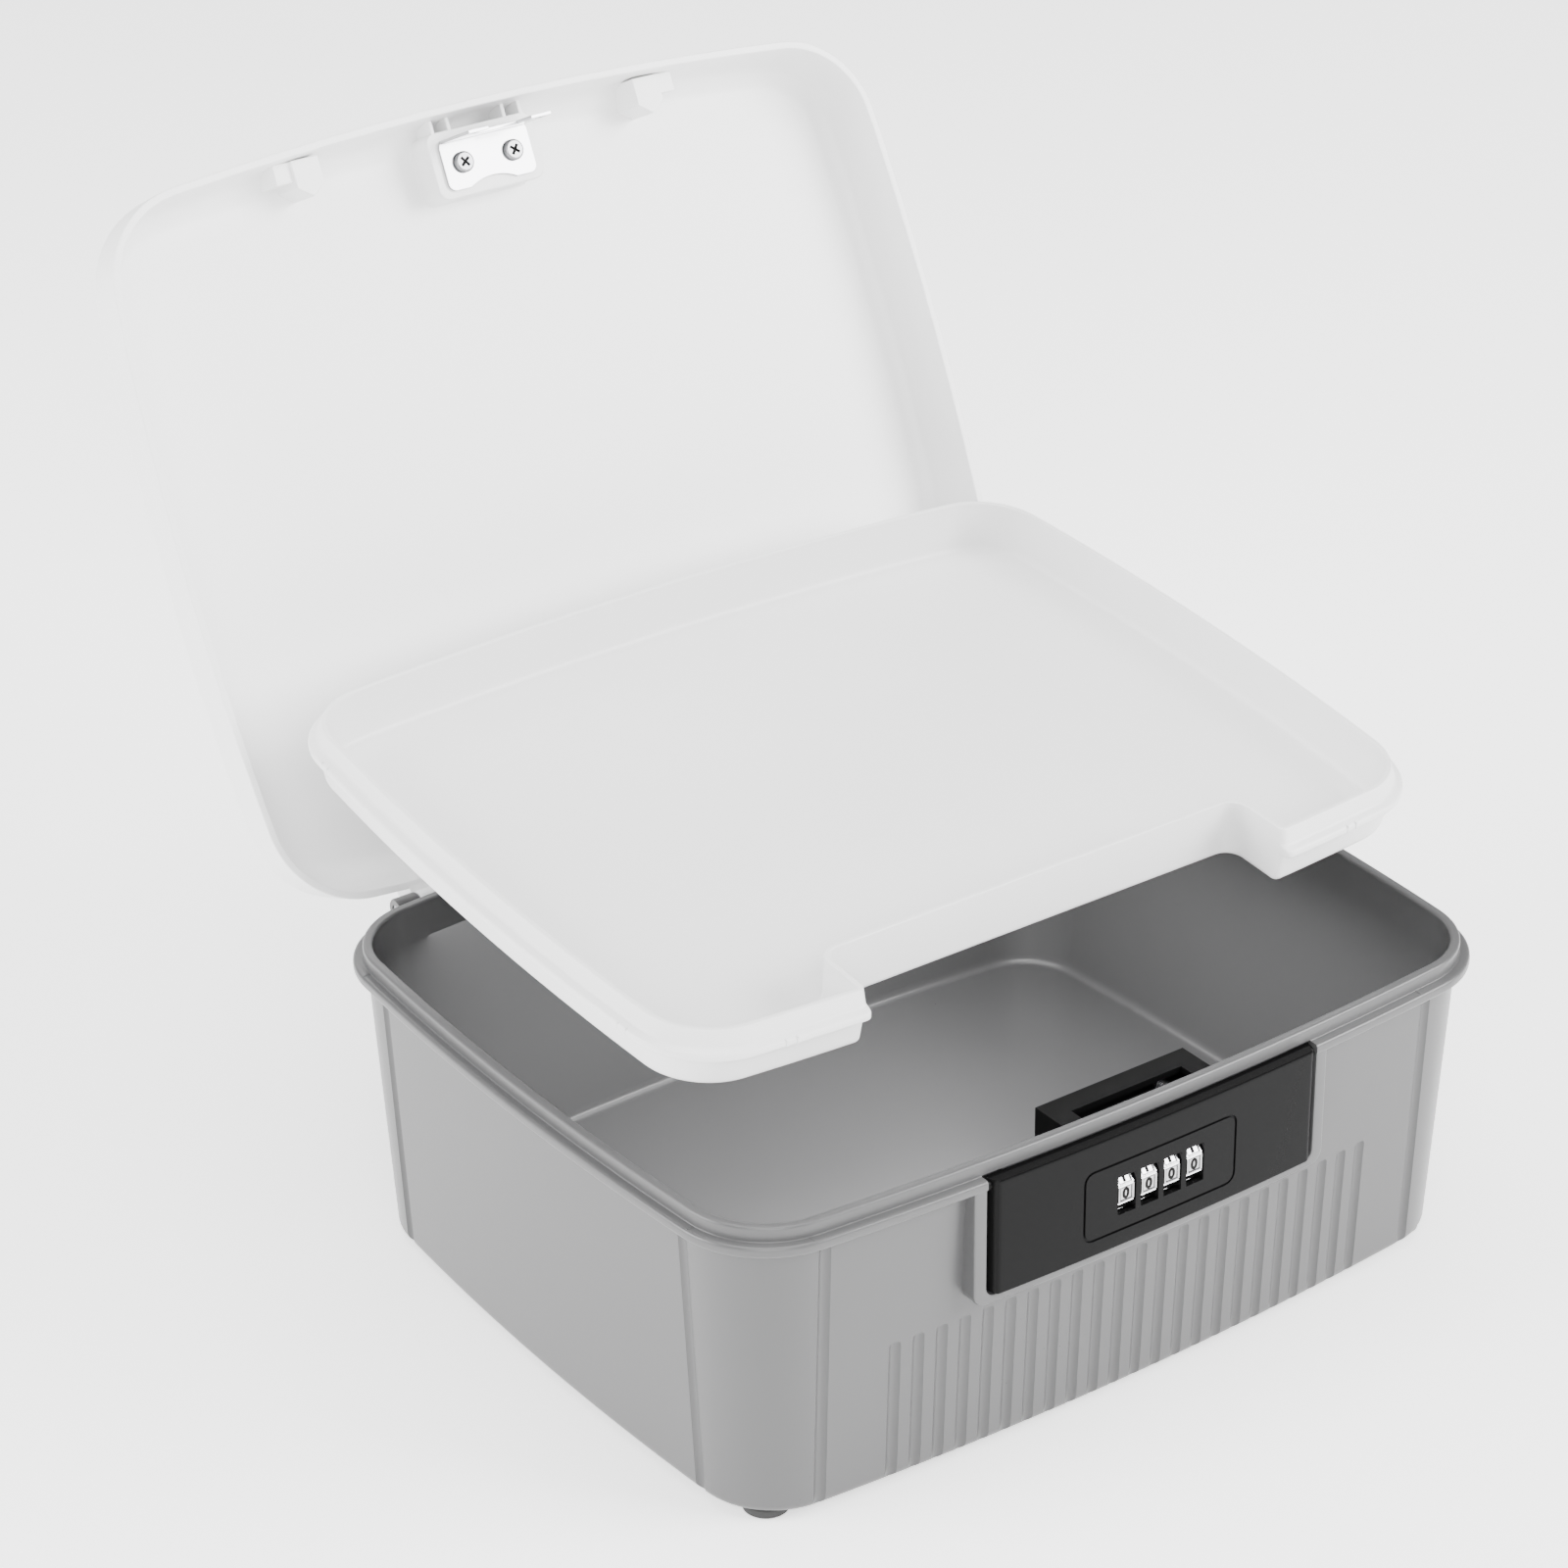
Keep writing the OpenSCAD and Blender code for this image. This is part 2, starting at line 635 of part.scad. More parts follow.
// Cradle behind the panel that carries the wheels
cheek_x = (wheel_n * wheel_pitch) / 2 + 4.2;
cheek_t = 2;
cradle_y0 = -bow_y(cheek_x + 6, panel_back + 0.15);
cradle_y1 = wheel_y + wheel_r + 1.2;
cradle_floor = wheel_z - wheel_r - 3.1;
cradle_screw_x = cheek_x + cheek_t + 2.9;
module wheel_cradle() color(black) {
    difference() {
        union() {
            for (s = [-1, 1]) {
                block([s * (cheek_x + cheek_t / 2) - cheek_t / 2, cradle_y0, cradle_floor],
                      [s * (cheek_x + cheek_t / 2) + cheek_t / 2, cradle_y1, wheel_z + wheel_r - 1.2]);
                block([s * (cradle_screw_x - 0.6) - 2.4, cradle_y0, wheel_z - 3.5],
                      [s * (cradle_screw_x - 0.6) + 2.4, cradle_y0 + 1.8, wheel_z + 3.5]);
            }
            block([-cheek_x - e, cradle_y0, cradle_floor], [cheek_x + e, cradle_y1, cradle_floor + 2]);
        }
        rod_x(-cheek_x - 5, cheek_x + 5, wheel_y, wheel_z, axle_r + slip);
        for (s = [-1, 1]) rod_y(cradle_y0 - 1, cradle_y0 + 3, s * cradle_screw_x, wheel_z, 0.9 + slip);
    }
}

module cradle_screws() color(steel) {
    for (s = [-1, 1]) translate([s * cradle_screw_x, cradle_y0 + 1.8, wheel_z]) rotate([90, 0, 0])
        pan_screw(1.7, 1, 0.9, cradle_y0 + 1.8 + half_w - panel_face - 1.4);
}

module wheel_axle() color(steel) {
    head_x = cheek_x + cheek_t + 0.5;
    rod_x(-head_x, head_x, wheel_y, wheel_z, axle_r);
    for (s = [-1, 1]) rod_x(s * head_x - 0.4, s * head_x + 0.4, wheel_y, wheel_z, axle_r + 0.8);
}

// Number wheel: ten flats, a keyway for its sleeve and a ring sunk into each side
module number_wheel(i) {
    color(steel) translate([wheel_x(i), wheel_y, wheel_z]) rotate([0, 90, 0]) difference() {
        translate([0, 0, -wheel_w / 2]) cylinder(h = wheel_w, r = wheel_r, $fn = facets);
        translate([0, 0, -wheel_w]) cylinder(h = 2 * wheel_w, r = sleeve_r + slip);
        translate([0, -key_w / 2 - 0.1, -wheel_w]) cube([key_r + 0.2, key_w + 0.2, 2 * wheel_w]);
        for (s = [-1, 1]) translate([0, 0, s * wheel_w / 2]) difference() {
            cylinder(h = 1, r = 8.4, center = true);
            cylinder(h = 2, r = 6.4, center = true);
        }
    }
}
module number_wheel_1() number_wheel(0);
module number_wheel_2() number_wheel(1);
module number_wheel_3() number_wheel(2);
module number_wheel_4() number_wheel(3);

// Sleeve that a wheel turns, with a key and a collar that has a flat for the code
module code_sleeve(i) {
    len = wheel_pitch - 0.7;
    color(black) translate([wheel_x(i), wheel_y, wheel_z]) rotate([0, 90, 0]) difference() {
        union() {
            translate([0, 0, -wheel_w / 2]) cylinder(h = len, r = sleeve_r);
            translate([0, -key_w / 2, -wheel_w / 2 + 0.4]) cube([key_r, key_w, wheel_w - 0.8]);
            translate([0, 0, wheel_w / 2 + 0.5]) cylinder(h = len - wheel_w - 0.5, r = collar_r);
        }
        translate([0, 0, -wheel_w]) cylinder(h = 3 * wheel_w, r = axle_r + slip);
        translate([-9, -9, wheel_w / 2 + 0.4]) cube([9 - sleeve_r, 18, 4]);
    }
}
module code_sleeve_1() code_sleeve(0);
module code_sleeve_2() code_sleeve(1);
module code_sleeve_3() code_sleeve(2);
module code_sleeve_4() code_sleeve(3);

// Leaf with one finger behind each wheel
module detent_spring() color(steel) {
    y = wheel_y + wheel_r + gap;
    z = cradle_floor + 2;
    block([-cheek_x + 0.4, y - 4, z], [cheek_x - 0.4, y + 0.4, z + 0.4]);
    for (i = [0:wheel_n - 1]) block([wheel_x(i) - 2.2, y, z], [wheel_x(i) + 2.2, y + 0.4, wheel_z + 2]);
}

// Housing inside the front wall
module lock_housing() color(black) {
    hx = housing_x;
    difference() {
        union() {
            block([-hx, housing_y0, housing_z0], [hx, housing_y1, housing_z1]);
            block([-hx - flange_x, flange_y, flange_z - flange_h / 2],
                  [hx + flange_x, flange_y + flange_t, flange_z + flange_h / 2]);
        }
        block([-hx + housing_t, housing_y0 - 1, housing_z0 + housing_t],
              [hx - housing_t, housing_y1 - housing_back, housing_z1 - roof_t]);
        // mouth for the strike
        block([-mouth_x, housing_y0 - 1, housing_z1 - 5], [mouth_x, mouth_y, housing_z1 + 1]);
        for (s = [-1, 1], z = screw_z) rod_y(flange_y - 1, flange_y + 4, s * screw_x, z, 1.2 + slip);
        // slot and finger dip for the reset slider
        block([-6, housing_y1 - 3, wheel_z - 2], [9, housing_y1 + 1, wheel_z + 2]);
    }
}

module housing_screws() color(steel) {
    for (s = [-1, 1], z = screw_z) translate([s * screw_x, flange_y + flange_t, z]) rotate([90, 0, 0])
        pan_screw(2.6, 1.6, 1.2, flange_t + 4.6);
}

// Catch slider: two legs, a bar across and two hooks that reach into the strike
module catch_slider() color(black) {
    bar_y1 = leg_y0 + bar_d;
    for (s = [-1, 1]) {
        block([s * (leg_x + leg_t / 2) - leg_t / 2, leg_y0, housing_z0 + housing_t + 0.3],
              [s * (leg_x + leg_t / 2) + leg_t / 2, leg_y0 + leg_d, housing_z1 - roof_t - 0.3]);
        translate([s * hook_x - hook_w / 2, 0, 0]) rotate([90, 0, 90]) linear_extrude(hook_w)
            polygon([[leg_y0 + e, hook_z], [leg_y0 - 3.3, hook_z],
                     [leg_y0 - 3.3, hook_z + 1], [leg_y0 + e, hook_z + hook_h]]);
    }
    block([-leg_x - e, leg_y0, bar_z], [leg_x + e, bar_y1, bar_z + bar_h]);
    for (s = [-1, 1]) rod_y(bar_y1 - e, bar_y1 + 2, s * spring_x, spring_z, 1.4);
}

// Catch springs between the bar and the back of the housing
module catch_spring(s) {
    y0 = leg_y0 + bar_d;
    y1 = housing_y1 - housing_back;
    color(steel) difference() {
        rod_y(y0, y1, s * spring_x, spring_z, spring_r);
        rod_y(y0 - 1, y1 + 1, s * spring_x, spring_z, spring_r - 0.7);
    }
}
module catch_spring_left() catch_spring(-1);
module catch_spring_right() catch_spring(1);

// Slider on the back of the housing that frees the wheels for a new number
module reset_slider() color(black) {
    block([-5.7, housing_y1 - 1.4, wheel_z - 1.7], [5.7, housing_y1 + 0.3, wheel_z + 1.7]);
    block([-5.7, housing_y1 + 0.1, wheel_z - 3.6], [5.7, housing_y1 + 1.5, wheel_z + 3.6]);
    block([-1, housing_y1 + 1.4, wheel_z - 3.6], [1, housing_y1 + 2.6, wheel_z + 3.6]);
}

// Strike: a plate under the lid's boss with a tongue that the hooks hold
module strike_plate() color(steel) lid_place() {
    z0 = boss_z - strike_t;
    difference() {
        union() {
            translate([0, 0, z0]) linear_extrude(strike_t)
                rrect(-strike_x, strike_y0, strike_x, strike_y1, 3);
            block([-tongue_x, strike_y0, tongue_z], [tongue_x, strike_y0 + strike_t, boss_z]);
        }
        // arched edge between the screws
        translate([0, strike_y1 + 18, z0 - 1]) cylinder(h = 4, r = 20.5);
        for (s = [-1, 1]) translate([s * strike_screw_x, strike_screw_y, z0 - 1])
            cylinder(h = 4, r = 1.6 + slip);
        for (s = [-1, 1]) block([s * hook_x - hook_w / 2 - 0.5, strike_y0 - 1, hook_z - 0.8],
                                [s * hook_x + hook_w / 2 + 0.5, strike_y0 + 3, hook_z + hook_h + 0.6]);
        block([-hook_x + 5, strike_y0 - 1, tongue_z - 1], [hook_x - 5, strike_y0 + 3, hook_z + 8]);
    }
}

module strike_screws() color(steel) lid_place() {
    for (s = [-1, 1]) translate([s * strike_screw_x, strike_screw_y, boss_z - strike_t])
        pan_screw(3.9, 1.9, 1.6, 8);
}

// Feet
module foot(x, y) {
    color("#232323") translate([foot_x * x, foot_y * y, 0]) {
        rotate_extrude() polygon([[0, 0], [foot_r - 0.8, 0], [foot_r, 0.8],
            [foot_r, foot_h - 0.4], [foot_r - 0.4, foot_h], [0, foot_h]]);
        cylinder(h = foot_h + floor_t, r = foot_peg_r - slip);
    }
}
module foot_front_left() foot(-1, -1);
module foot_front_right() foot(1, -1);
module foot_back_left() foot(-1, 1);
module foot_back_right() foot(1, 1);

box_tub();
lid();
tray();
hinge_pin_left();
hinge_pin_right();
lock_panel();
panel_pin_left();
panel_pin_right();
wheel_cradle();
cradle_screws();
wheel_axle();
number_wheel_1();
number_wheel_2();
number_wheel_3();
number_wheel_4();
code_sleeve_1();
code_sleeve_2();
code_sleeve_3();
code_sleeve_4();
detent_spring();
lock_housing();
housing_screws();
catch_slider();
catch_spring_left();
catch_spring_right();
reset_slider();
strike_plate();
strike_screws();
foot_front_left();
foot_front_right();
foot_back_left();
foot_back_right();
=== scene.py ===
"""Household lock box with its lid open and its tray lifted: tub, lid, tray, push panel and number wheels."""
import math
import bpy
import bmesh
from mathutils import Matrix, Vector


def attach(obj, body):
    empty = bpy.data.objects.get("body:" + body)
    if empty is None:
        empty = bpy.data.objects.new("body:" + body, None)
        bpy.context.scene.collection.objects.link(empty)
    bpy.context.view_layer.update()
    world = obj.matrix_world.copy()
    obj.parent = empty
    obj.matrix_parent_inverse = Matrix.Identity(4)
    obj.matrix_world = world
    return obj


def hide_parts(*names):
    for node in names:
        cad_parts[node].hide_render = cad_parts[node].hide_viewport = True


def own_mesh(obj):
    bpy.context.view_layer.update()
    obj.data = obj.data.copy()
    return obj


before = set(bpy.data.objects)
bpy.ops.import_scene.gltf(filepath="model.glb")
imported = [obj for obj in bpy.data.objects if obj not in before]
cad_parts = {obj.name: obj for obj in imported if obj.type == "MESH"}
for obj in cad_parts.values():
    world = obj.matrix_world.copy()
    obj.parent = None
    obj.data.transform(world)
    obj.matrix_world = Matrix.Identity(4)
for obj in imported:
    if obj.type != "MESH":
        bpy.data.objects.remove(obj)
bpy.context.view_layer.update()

MM = 0.001

# Sizes in millimetres, the same as the solids'
HALF_L, HALF_W, TUB_H, CORNER = 165.0, 133.5, 117.0, 35.0
BEAD_TOP, BEAD_BOT, FOOT_H, FLOOR = 111.8, 107.8, 3.5, 6.5
LONG_BOW, END_BOW, WALL_IN, WALL_TAPER = 6.0, 4.0, 4.8, 4.7
LONG_R = (LONG_BOW ** 2 + (HALF_L - CORNER) ** 2) / (2 * LONG_BOW)
END_R = (END_BOW ** 2 + (HALF_W - CORNER) ** 2) / (2 * END_BOW)
LONG_C, END_C = HALF_W - LONG_R, HALF_L - END_R
GROOVE_R, GROOVE_OUT, GROOVE_BOT, GROOVE_TOP = 2.6, 1.3, 2.5, BEAD_BOT - 0.5
HINGE_X, HINGE_Y, HINGE_Z, HINGE_BORE = 110.0, 134.5, 108.5, 2.05
KNUCKLE_R, KNUCKLE_GAP, TUB_KNUCKLE, LID_KNUCKLE = 4.2, 6.0, 9.0, 11.4
LID_OPEN, LID_Z, LID_H = 115.6, 112.0, 27.0
LID_PANEL = LID_Z + LID_H - 2.4
LID_ROOT = LID_PANEL + 0.6
BOSS_X, BOSS_Z, STRIKE_X, STRIKE_Y = 22.5, LID_Z + 11, 10.6, -113.4
SEAT, TRAY_TOP, TRAY_BOT = 117.1, 126.2, 105.2
TRAY_BACK, TRAY_LIFT, TRAY_LEAN = 30.0, 54.0, 5.2
NOTCH_X, NOTCH_Y, NOTCH_ROUND = 86, 98, 6
PANEL_X, PANEL_Z, PANEL_TOP, PANEL_BACK, PANEL_FACE = 68.2, 68.4, 111.2, 4.2, -1.4
OPEN_X, OPEN_BOT, OPEN_TOP, OPEN_ROUND = 68.8, 68, 112.2, 3
FRAME_SIDE, FRAME_BOT, FRAME_ROOT = 5, 64.7, -124.3
PIVOT_Y, PIVOT_Z, PUSH_X = -129.01, 108.7, 27.75
WHEEL_Y, WHEEL_Z, WHEEL_R, WHEEL_W, PITCH = -124.7, 87.8, 10.4, 6.3, 9.57
WHEEL_X = [(i - 1.5) * PITCH for i in range(4)]
WHEEL_STEP = 36
HOUSING_SCREWS = [(x, z) for x in (-35, 35) for z in (75.8, 99.8)]
FOOT_SPOTS = [(-136.7, -104.0), (136.7, -104.0), (-136.7, 104.0), (136.7, 104.0)]
# Steps along a quarter of the outline: half an end, a corner, half a long side
END_STEPS, CORNER_STEPS, LONG_STEPS = 8, 16, 14


# ---------------------------------------------------------------- outline of the tub
def front_reach(x, off):
    """How far the long side stands out at x, drawn in by off."""
    return LONG_C + math.sqrt((LONG_R - off) ** 2 - x * x)


def end_reach(y, off):
    """How far the short side stands out at y, drawn in by off."""
    return END_C + math.sqrt((END_R - off) ** 2 - y * y)


def wall_off(z):
    """How far the outside of the wall is drawn in at height z."""
    return WALL_IN + WALL_TAPER * (BEAD_BOT - z) / (BEAD_BOT - FOOT_H - 3)


def arc_points(centre_x, centre_y, radius, first, last, steps):
    """Points along an arc between two angles."""
    turns = [first + (last - first) * i / steps for i in range(steps + 1)]
    return [(centre_x + radius * math.cos(t), centre_y + radius * math.sin(t)) for t in turns]


def circle(radius, count, z=0.0):
    """Points round the z axis at height z."""
    return [Vector((*spot, z)) for spot in arc_points(0, 0, radius, 0, 2 * math.pi, count)[:-1]]


def quarter_of(off, rounder=0.0):
    """A quarter of the bowed rectangle, from the middle of an end to the middle of a long side."""
    r = CORNER - off + rounder
    # the corner's centre is p from the centre of the end's bow and q from that of the long side's
    p, q, d = END_R - off - r, LONG_R - off - r, math.hypot(END_C, LONG_C)
    s = (p * p - q * q + d * d) / (2 * d)
    h = math.sqrt(p * p - s * s)
    kx, ky = END_C - s * END_C / d - h * LONG_C / d, s * LONG_C / d - h * END_C / d
    first, last = math.atan2(ky, kx - END_C), math.atan2(ky - LONG_C, kx)
    return (arc_points(END_C, 0, END_R - off, 0, first, END_STEPS)
            + arc_points(kx, ky, r, first, last, CORNER_STEPS)[1:]
            + arc_points(0, LONG_C, LONG_R - off, last, math.pi / 2, LONG_STEPS)[1:])


def whole(back, front, z):
    """A closed loop at height z from its back and front quarters."""
    m, n = len(back) - 1, len(front) - 1
    return ([(x, y, z) for x, y in back[:m]] + [(-x, y, z) for x, y in back[m:0:-1]]
            + [(-x, -y, z) for x, y in front[:n]] + [(x, -y, z) for x, y in front[n:0:-1]])


def outline(off, rounder=0.0, z=0.0):
    """The bowed rectangle at height z, drawn in by off, its corners rounder by rounder."""
    quarter = quarter_of(off, rounder)
    return whole(quarter, quarter, z)


def eased(profile, steps=5):
    """A profile of (drawn in by, height, rounder by, radius) with each corner turned into a short curve."""
    points = []
    for i, (off, z, more, radius) in enumerate(profile):
        here = Vector((off, z, more))
        if radius == 0 or i in (0, len(profile) - 1):
            points.append(here)
            continue
        back, ahead = Vector(profile[i - 1][:3]) - here, Vector(profile[i + 1][:3]) - here
        start = here + back.normalized() * min(radius, back.length * 0.48)
        end = here + ahead.normalized() * min(radius, ahead.length * 0.48)
        for k in range(steps + 1):
            t = k / steps
            points.append(start * (1 - t) ** 2 + here * 2 * t * (1 - t) + end * t * t)
    return points


# ---------------------------------------------------------------- modelling helpers
def clear():
    """Leaves nothing selected."""
    if bpy.context.mode != "OBJECT":
        bpy.ops.object.mode_set(mode="OBJECT")
    bpy.ops.object.select_all(action="DESELECT")


def only(piece):
    """Selects one piece and makes it active."""
    clear()
    piece.select_set(True)
    bpy.context.view_layer.objects.active = piece


def loft(name, loops):
    """A closed solid through loops of points in mm: a filled circle, extruded from loop to loop."""
    clear()
    bpy.ops.mesh.primitive_circle_add(vertices=len(loops[0]), fill_type="NGON")
    piece = bpy.context.object
    piece.name = piece.data.name = name
    bpy.ops.object.mode_set(mode="EDIT")
    mesh = bmesh.from_edit_mesh(piece.data)
    mesh.verts.ensure_lookup_table()
    ring = list(mesh.verts)
    for number, loop in enumerate(loops):
        if number:
            bpy.ops.mesh.extrude_region_move()
            mesh = bmesh.from_edit_mesh(piece.data)
            chosen = {tuple(v.co): v for v in mesh.verts if v.select}
            ring = [chosen[spot] for spot in last]
        for v, point in zip(ring, loop):
            v.co = Vector(point) * MM
        bmesh.update_edit_mesh(piece.data)
        last = [tuple(v.co) for v in ring]
    bpy.ops.mesh.select_all(action="SELECT")
    bpy.ops.mesh.normals_make_consistent(inside=False)
    bpy.ops.object.mode_set(mode="OBJECT")
    return piece


def shell(name, profile):
    """A closed solid swept round the tub's outline along a profile as in eased."""
    return loft(name, [outline(off, more, z) for off, z, more in eased(profile)])


def block(name, low, high, edge=0.0):
    """A box between two corners in mm, its edges rounded by edge."""
    clear()
    bpy.ops.mesh.primitive_cube_add(size=1)
    piece = bpy.context.object
    piece.name = piece.data.name = name
    low, high = Vector(low), Vector(high)
    piece.scale = (high - low) * MM
    piece.location = (high + low) / 2 * MM
    bpy.ops.object.transform_apply(location=True, rotation=True, scale=True)
    if edge:
        round_edges(piece, edge)
    return piece


def rod(name, start, end, radius, sides=32, edge=0.0):
    """A round bar between two points in mm."""
    start, end = Vector(start), Vector(end)
    clear()
    bpy.ops.mesh.primitive_cylinder_add(vertices=sides, radius=radius * MM, depth=(end - start).length * MM)
    piece = bpy.context.object
    piece.name = piece.data.name = name
    turn = (end - start).to_track_quat("Z", "Y").to_matrix().to_4x4()
    piece.matrix_world = Matrix.Translation((start + end) / 2 * MM) @ turn
    bpy.ops.object.transform_apply(location=True, rotation=True, scale=True)
    if edge:
        round_edges(piece, edge)
    return piece


def use(piece, kind, **settings):
    """Adds a modifier to a piece and applies it."""
    only(piece)
    step = piece.modifiers.new(kind.lower(), kind)
    for key, value in settings.items():
        setattr(step, key, value)
    bpy.ops.object.modifier_apply(modifier=step.name)


def round_edges(piece, width, angle=40, segments=3):
    """Rounds every edge that is sharper than angle."""
    use(piece, "BEVEL", width=width * MM, segments=segments, limit_method="ANGLE",
        angle_limit=math.radians(angle), use_clamp_overlap=True)


def linked(name, data):
    """A new piece from ready data, both under one name."""
    piece = bpy.data.objects.new(name, data)
    piece.data.name = piece.name
    bpy.context.scene.collection.objects.link(piece)
    return piece


def together(name, parts):
    """Joins several meshes into one piece."""
    clear()
    for part in parts:
        part.select_set(True)
    bpy.context.view_layer.objects.active = parts[0]
    if len(parts) > 1:
        bpy.ops.object.join()
    piece = bpy.context.object
    piece.name = piece.data.name = name
    return piece


def carve(piece, tool, operation="DIFFERENCE"):
    """Cuts a tool out of a piece, or adds it, and removes the tool."""
    use(piece, "BOOLEAN", object=tool, operation=operation, solver="EXACT")
    bpy.data.objects.remove(tool)
    return piece


def mirrored(part):
    """Takes a part over to the other side of the middle."""
    only(part)
    part.scale = (-1, 1, 1)
    bpy.ops.object.transform_apply(location=True, rotation=True, scale=True)
    bpy.ops.object.mode_set(mode="EDIT")
    bpy.ops.mesh.select_all(action="SELECT")
    bpy.ops.mesh.normals_make_consistent(inside=False)
    bpy.ops.object.mode_set(mode="OBJECT")
    return part


def put(piece, matrix):
    """Moves the mesh itself, so that the piece stays at the origin."""
    only(piece)
    piece.matrix_world = matrix
    bpy.ops.object.transform_apply(location=True, rotation=True, scale=True)
    return piece


def smooth(piece, angle=32, weighted=True):
    """Smooth shading with sharp edges kept."""
    only(piece)
    bpy.ops.object.shade_smooth_by_angle(angle=math.radians(angle))
    if weighted:
        use(piece, "WEIGHTED_NORMAL", keep_sharp=True, weight=60)


def plate_loop(x0, z0, x1, z1, r, depth, long_steps=24, corner_steps=5):
    """A rectangle with round corners in the front plane; depth gives y at each x."""
    corners = [(x1 - r, z0 + r, -90), (x1 - r, z1 - r, 0), (x0 + r, z1 - r, 90), (x0 + r, z0 + r, 180)]
    rounds = [arc_points(x, z, r, math.radians(turn), math.radians(turn + 90), corner_steps)
              for x, z, turn in corners]
    points = []
    for this, following in zip(rounds, rounds[1:] + rounds[:1]):
        points += this
        (ax, az), (bx, bz) = this[-1], following[0]
        steps = long_steps if abs(bx - ax) > abs(bz - az) else 2
        points += [(ax + (bx - ax) * i / steps, az + (bz - az) * i / steps) for i in range(1, steps)]
    return [(x, depth(x), z) for x, z in points]


LID_PLACE = (Matrix.Translation(Vector((0, HINGE_Y, HINGE_Z)) * MM)
             @ Matrix.Rotation(math.radians(-LID_OPEN), 4, "X")
             @ Matrix.Translation(Vector((0, -HINGE_Y, -HINGE_Z)) * MM))
TRAY_PLACE = (Matrix.Translation(Vector((0, TRAY_BACK, TRAY_TOP + TRAY_LIFT)) * MM)
              @ Matrix.Rotation(math.radians(TRAY_LEAN), 4, "X")
              @ Matrix.Translation(Vector((0, 0, -TRAY_TOP)) * MM))


# ---------------------------------------------------------------- materials
class Wire:
    """A socket in a material; adding to it, taking from it or multiplying it makes a Math node."""

    def __init__(self, finish, socket):
        self.finish, self.socket = finish, socket

    def _maths(self, operation, a, b):
        return self.finish.node("ShaderNodeMath", {"operation": operation}, {0: a, 1: b})

    def __add__(self, other):
        return self._maths("ADD", self, other)

    def __mul__(self, other):
        return self._maths("MULTIPLY", self, other)

    def __sub__(self, other):
        return self._maths("SUBTRACT", self, other)


class Finish:
    """One node material under construction."""

    def __init__(self, name):
        self.material = bpy.data.materials.new(name)
        self.material.use_nodes = True
        self.tree = self.material.node_tree
        self.shader = self.tree.nodes["Principled BSDF"]

    def node(self, kind, settings=None, values=None, out=0):
        """Adds a node: its settings first, then the numbers or wires of its sockets."""
        made = self.tree.nodes.new(kind)
        for key, value in (settings or {}).items():
            setattr(made, key, value)
        for key, value in (values or {}).items():
            self.feed(made.inputs[key], value)
        return Wire(self, made.outputs[out])

    def feed(self, socket, value):
        """Joins a wire to a socket, or sets the socket to a number."""
        if isinstance(value, Wire):
            self.tree.links.new(value.socket, socket)
        else:
            socket.default_value = value

    def set(self, **values):
        """Feeds the shader's sockets, named with _ for a space."""
        for key, value in values.items():
            self.feed(self.shader.inputs[key.replace("_", " ")], value)

    def noise(self, scale, detail=2.0, stretch=None):
        """Noise on object coordinates; scale is features per metre."""
        here = self.node("ShaderNodeTexCoord", out="Object")
        if stretch:
            here = self.node("ShaderNodeMapping", {}, {"Vector": here, "Scale": stretch})
        return self.node("ShaderNodeTexNoise", {}, {"Vector": here, "Scale": scale, "Detail": detail})

    def mix(self, factor, a, b):
        """Colour mix from a to b."""
        return self.node("ShaderNodeMix", {"data_type": "RGBA"}, {0: factor, 6: (*a, 1), 7: (*b, 1)}, out=2)


def moulded(name, dark, pale, rough, grain=900.0, depth=0.000005, spread=0.08, **fixed):
    """Moulded plastic: faint flow marks in the colour, fine grain in the gloss and the surface."""
    f = Finish(name)
    flow, speck = f.noise(14.0, 4.0), f.noise(grain, 3.0)
    f.set(Base_Color=f.mix(flow * 0.75 + speck * 0.25, dark, pale),
          Roughness=(speck - 0.5) * spread + (flow - 0.5) * spread * 0.6 + rough,
          Normal=f.node("ShaderNodeBump", {}, {"Strength": 0.25, "Distance": depth,
                                               "Height": speck + flow * 0.4}),
          **fixed)
    return f.material


def plated(name, dark, pale, rough, stretch=(1, 1, 1), grain=1400.0, spread=0.14, depth=0.00001):
    """Bright metal: fine marks along one direction in the gloss and the surface."""
    f = Finish(name)
    marks, cloud = f.noise(grain, 3.0, stretch), f.noise(60.0, 3.0)
    f.set(Base_Color=f.mix(marks * 0.5 + cloud * 0.5, dark, pale), Metallic=1.0,
          Roughness=(marks - 0.5) * spread + (cloud - 0.5) * spread * 0.5 + rough,
          Normal=f.node("ShaderNodeBump", {}, {"Strength": 0.3, "Distance": depth, "Height": marks}))
    return f.material


GREY = moulded("grey_tub_plastic", (0.073, 0.073, 0.074), (0.082, 0.082, 0.083), 0.30)
WHITE = moulded("white_lid_plastic", (0.88, 0.88, 0.88), (0.91, 0.91, 0.91), 0.32)
TRAY_WHITE = moulded("white_tray_plastic", (0.77, 0.77, 0.77), (0.82, 0.82, 0.82), 0.34)
PANEL_BLACK = moulded("black_panel_plastic", (0.0038, 0.0038, 0.0039), (0.0052, 0.0052, 0.0053), 0.22,
                      grain=1500.0, depth=0.000004, Specular_IOR_Level=0.06)
LOCK_BLACK = moulded("black_lock_plastic", (0.0024, 0.0024, 0.0025), (0.0044, 0.0044, 0.0045), 0.34,
                     grain=1300.0, Specular_IOR_Level=0.06)
SILVER = plated("silver_wheel_plating", (0.44, 0.44, 0.45), (0.58, 0.58, 0.59), 0.24, (1, 6, 6))
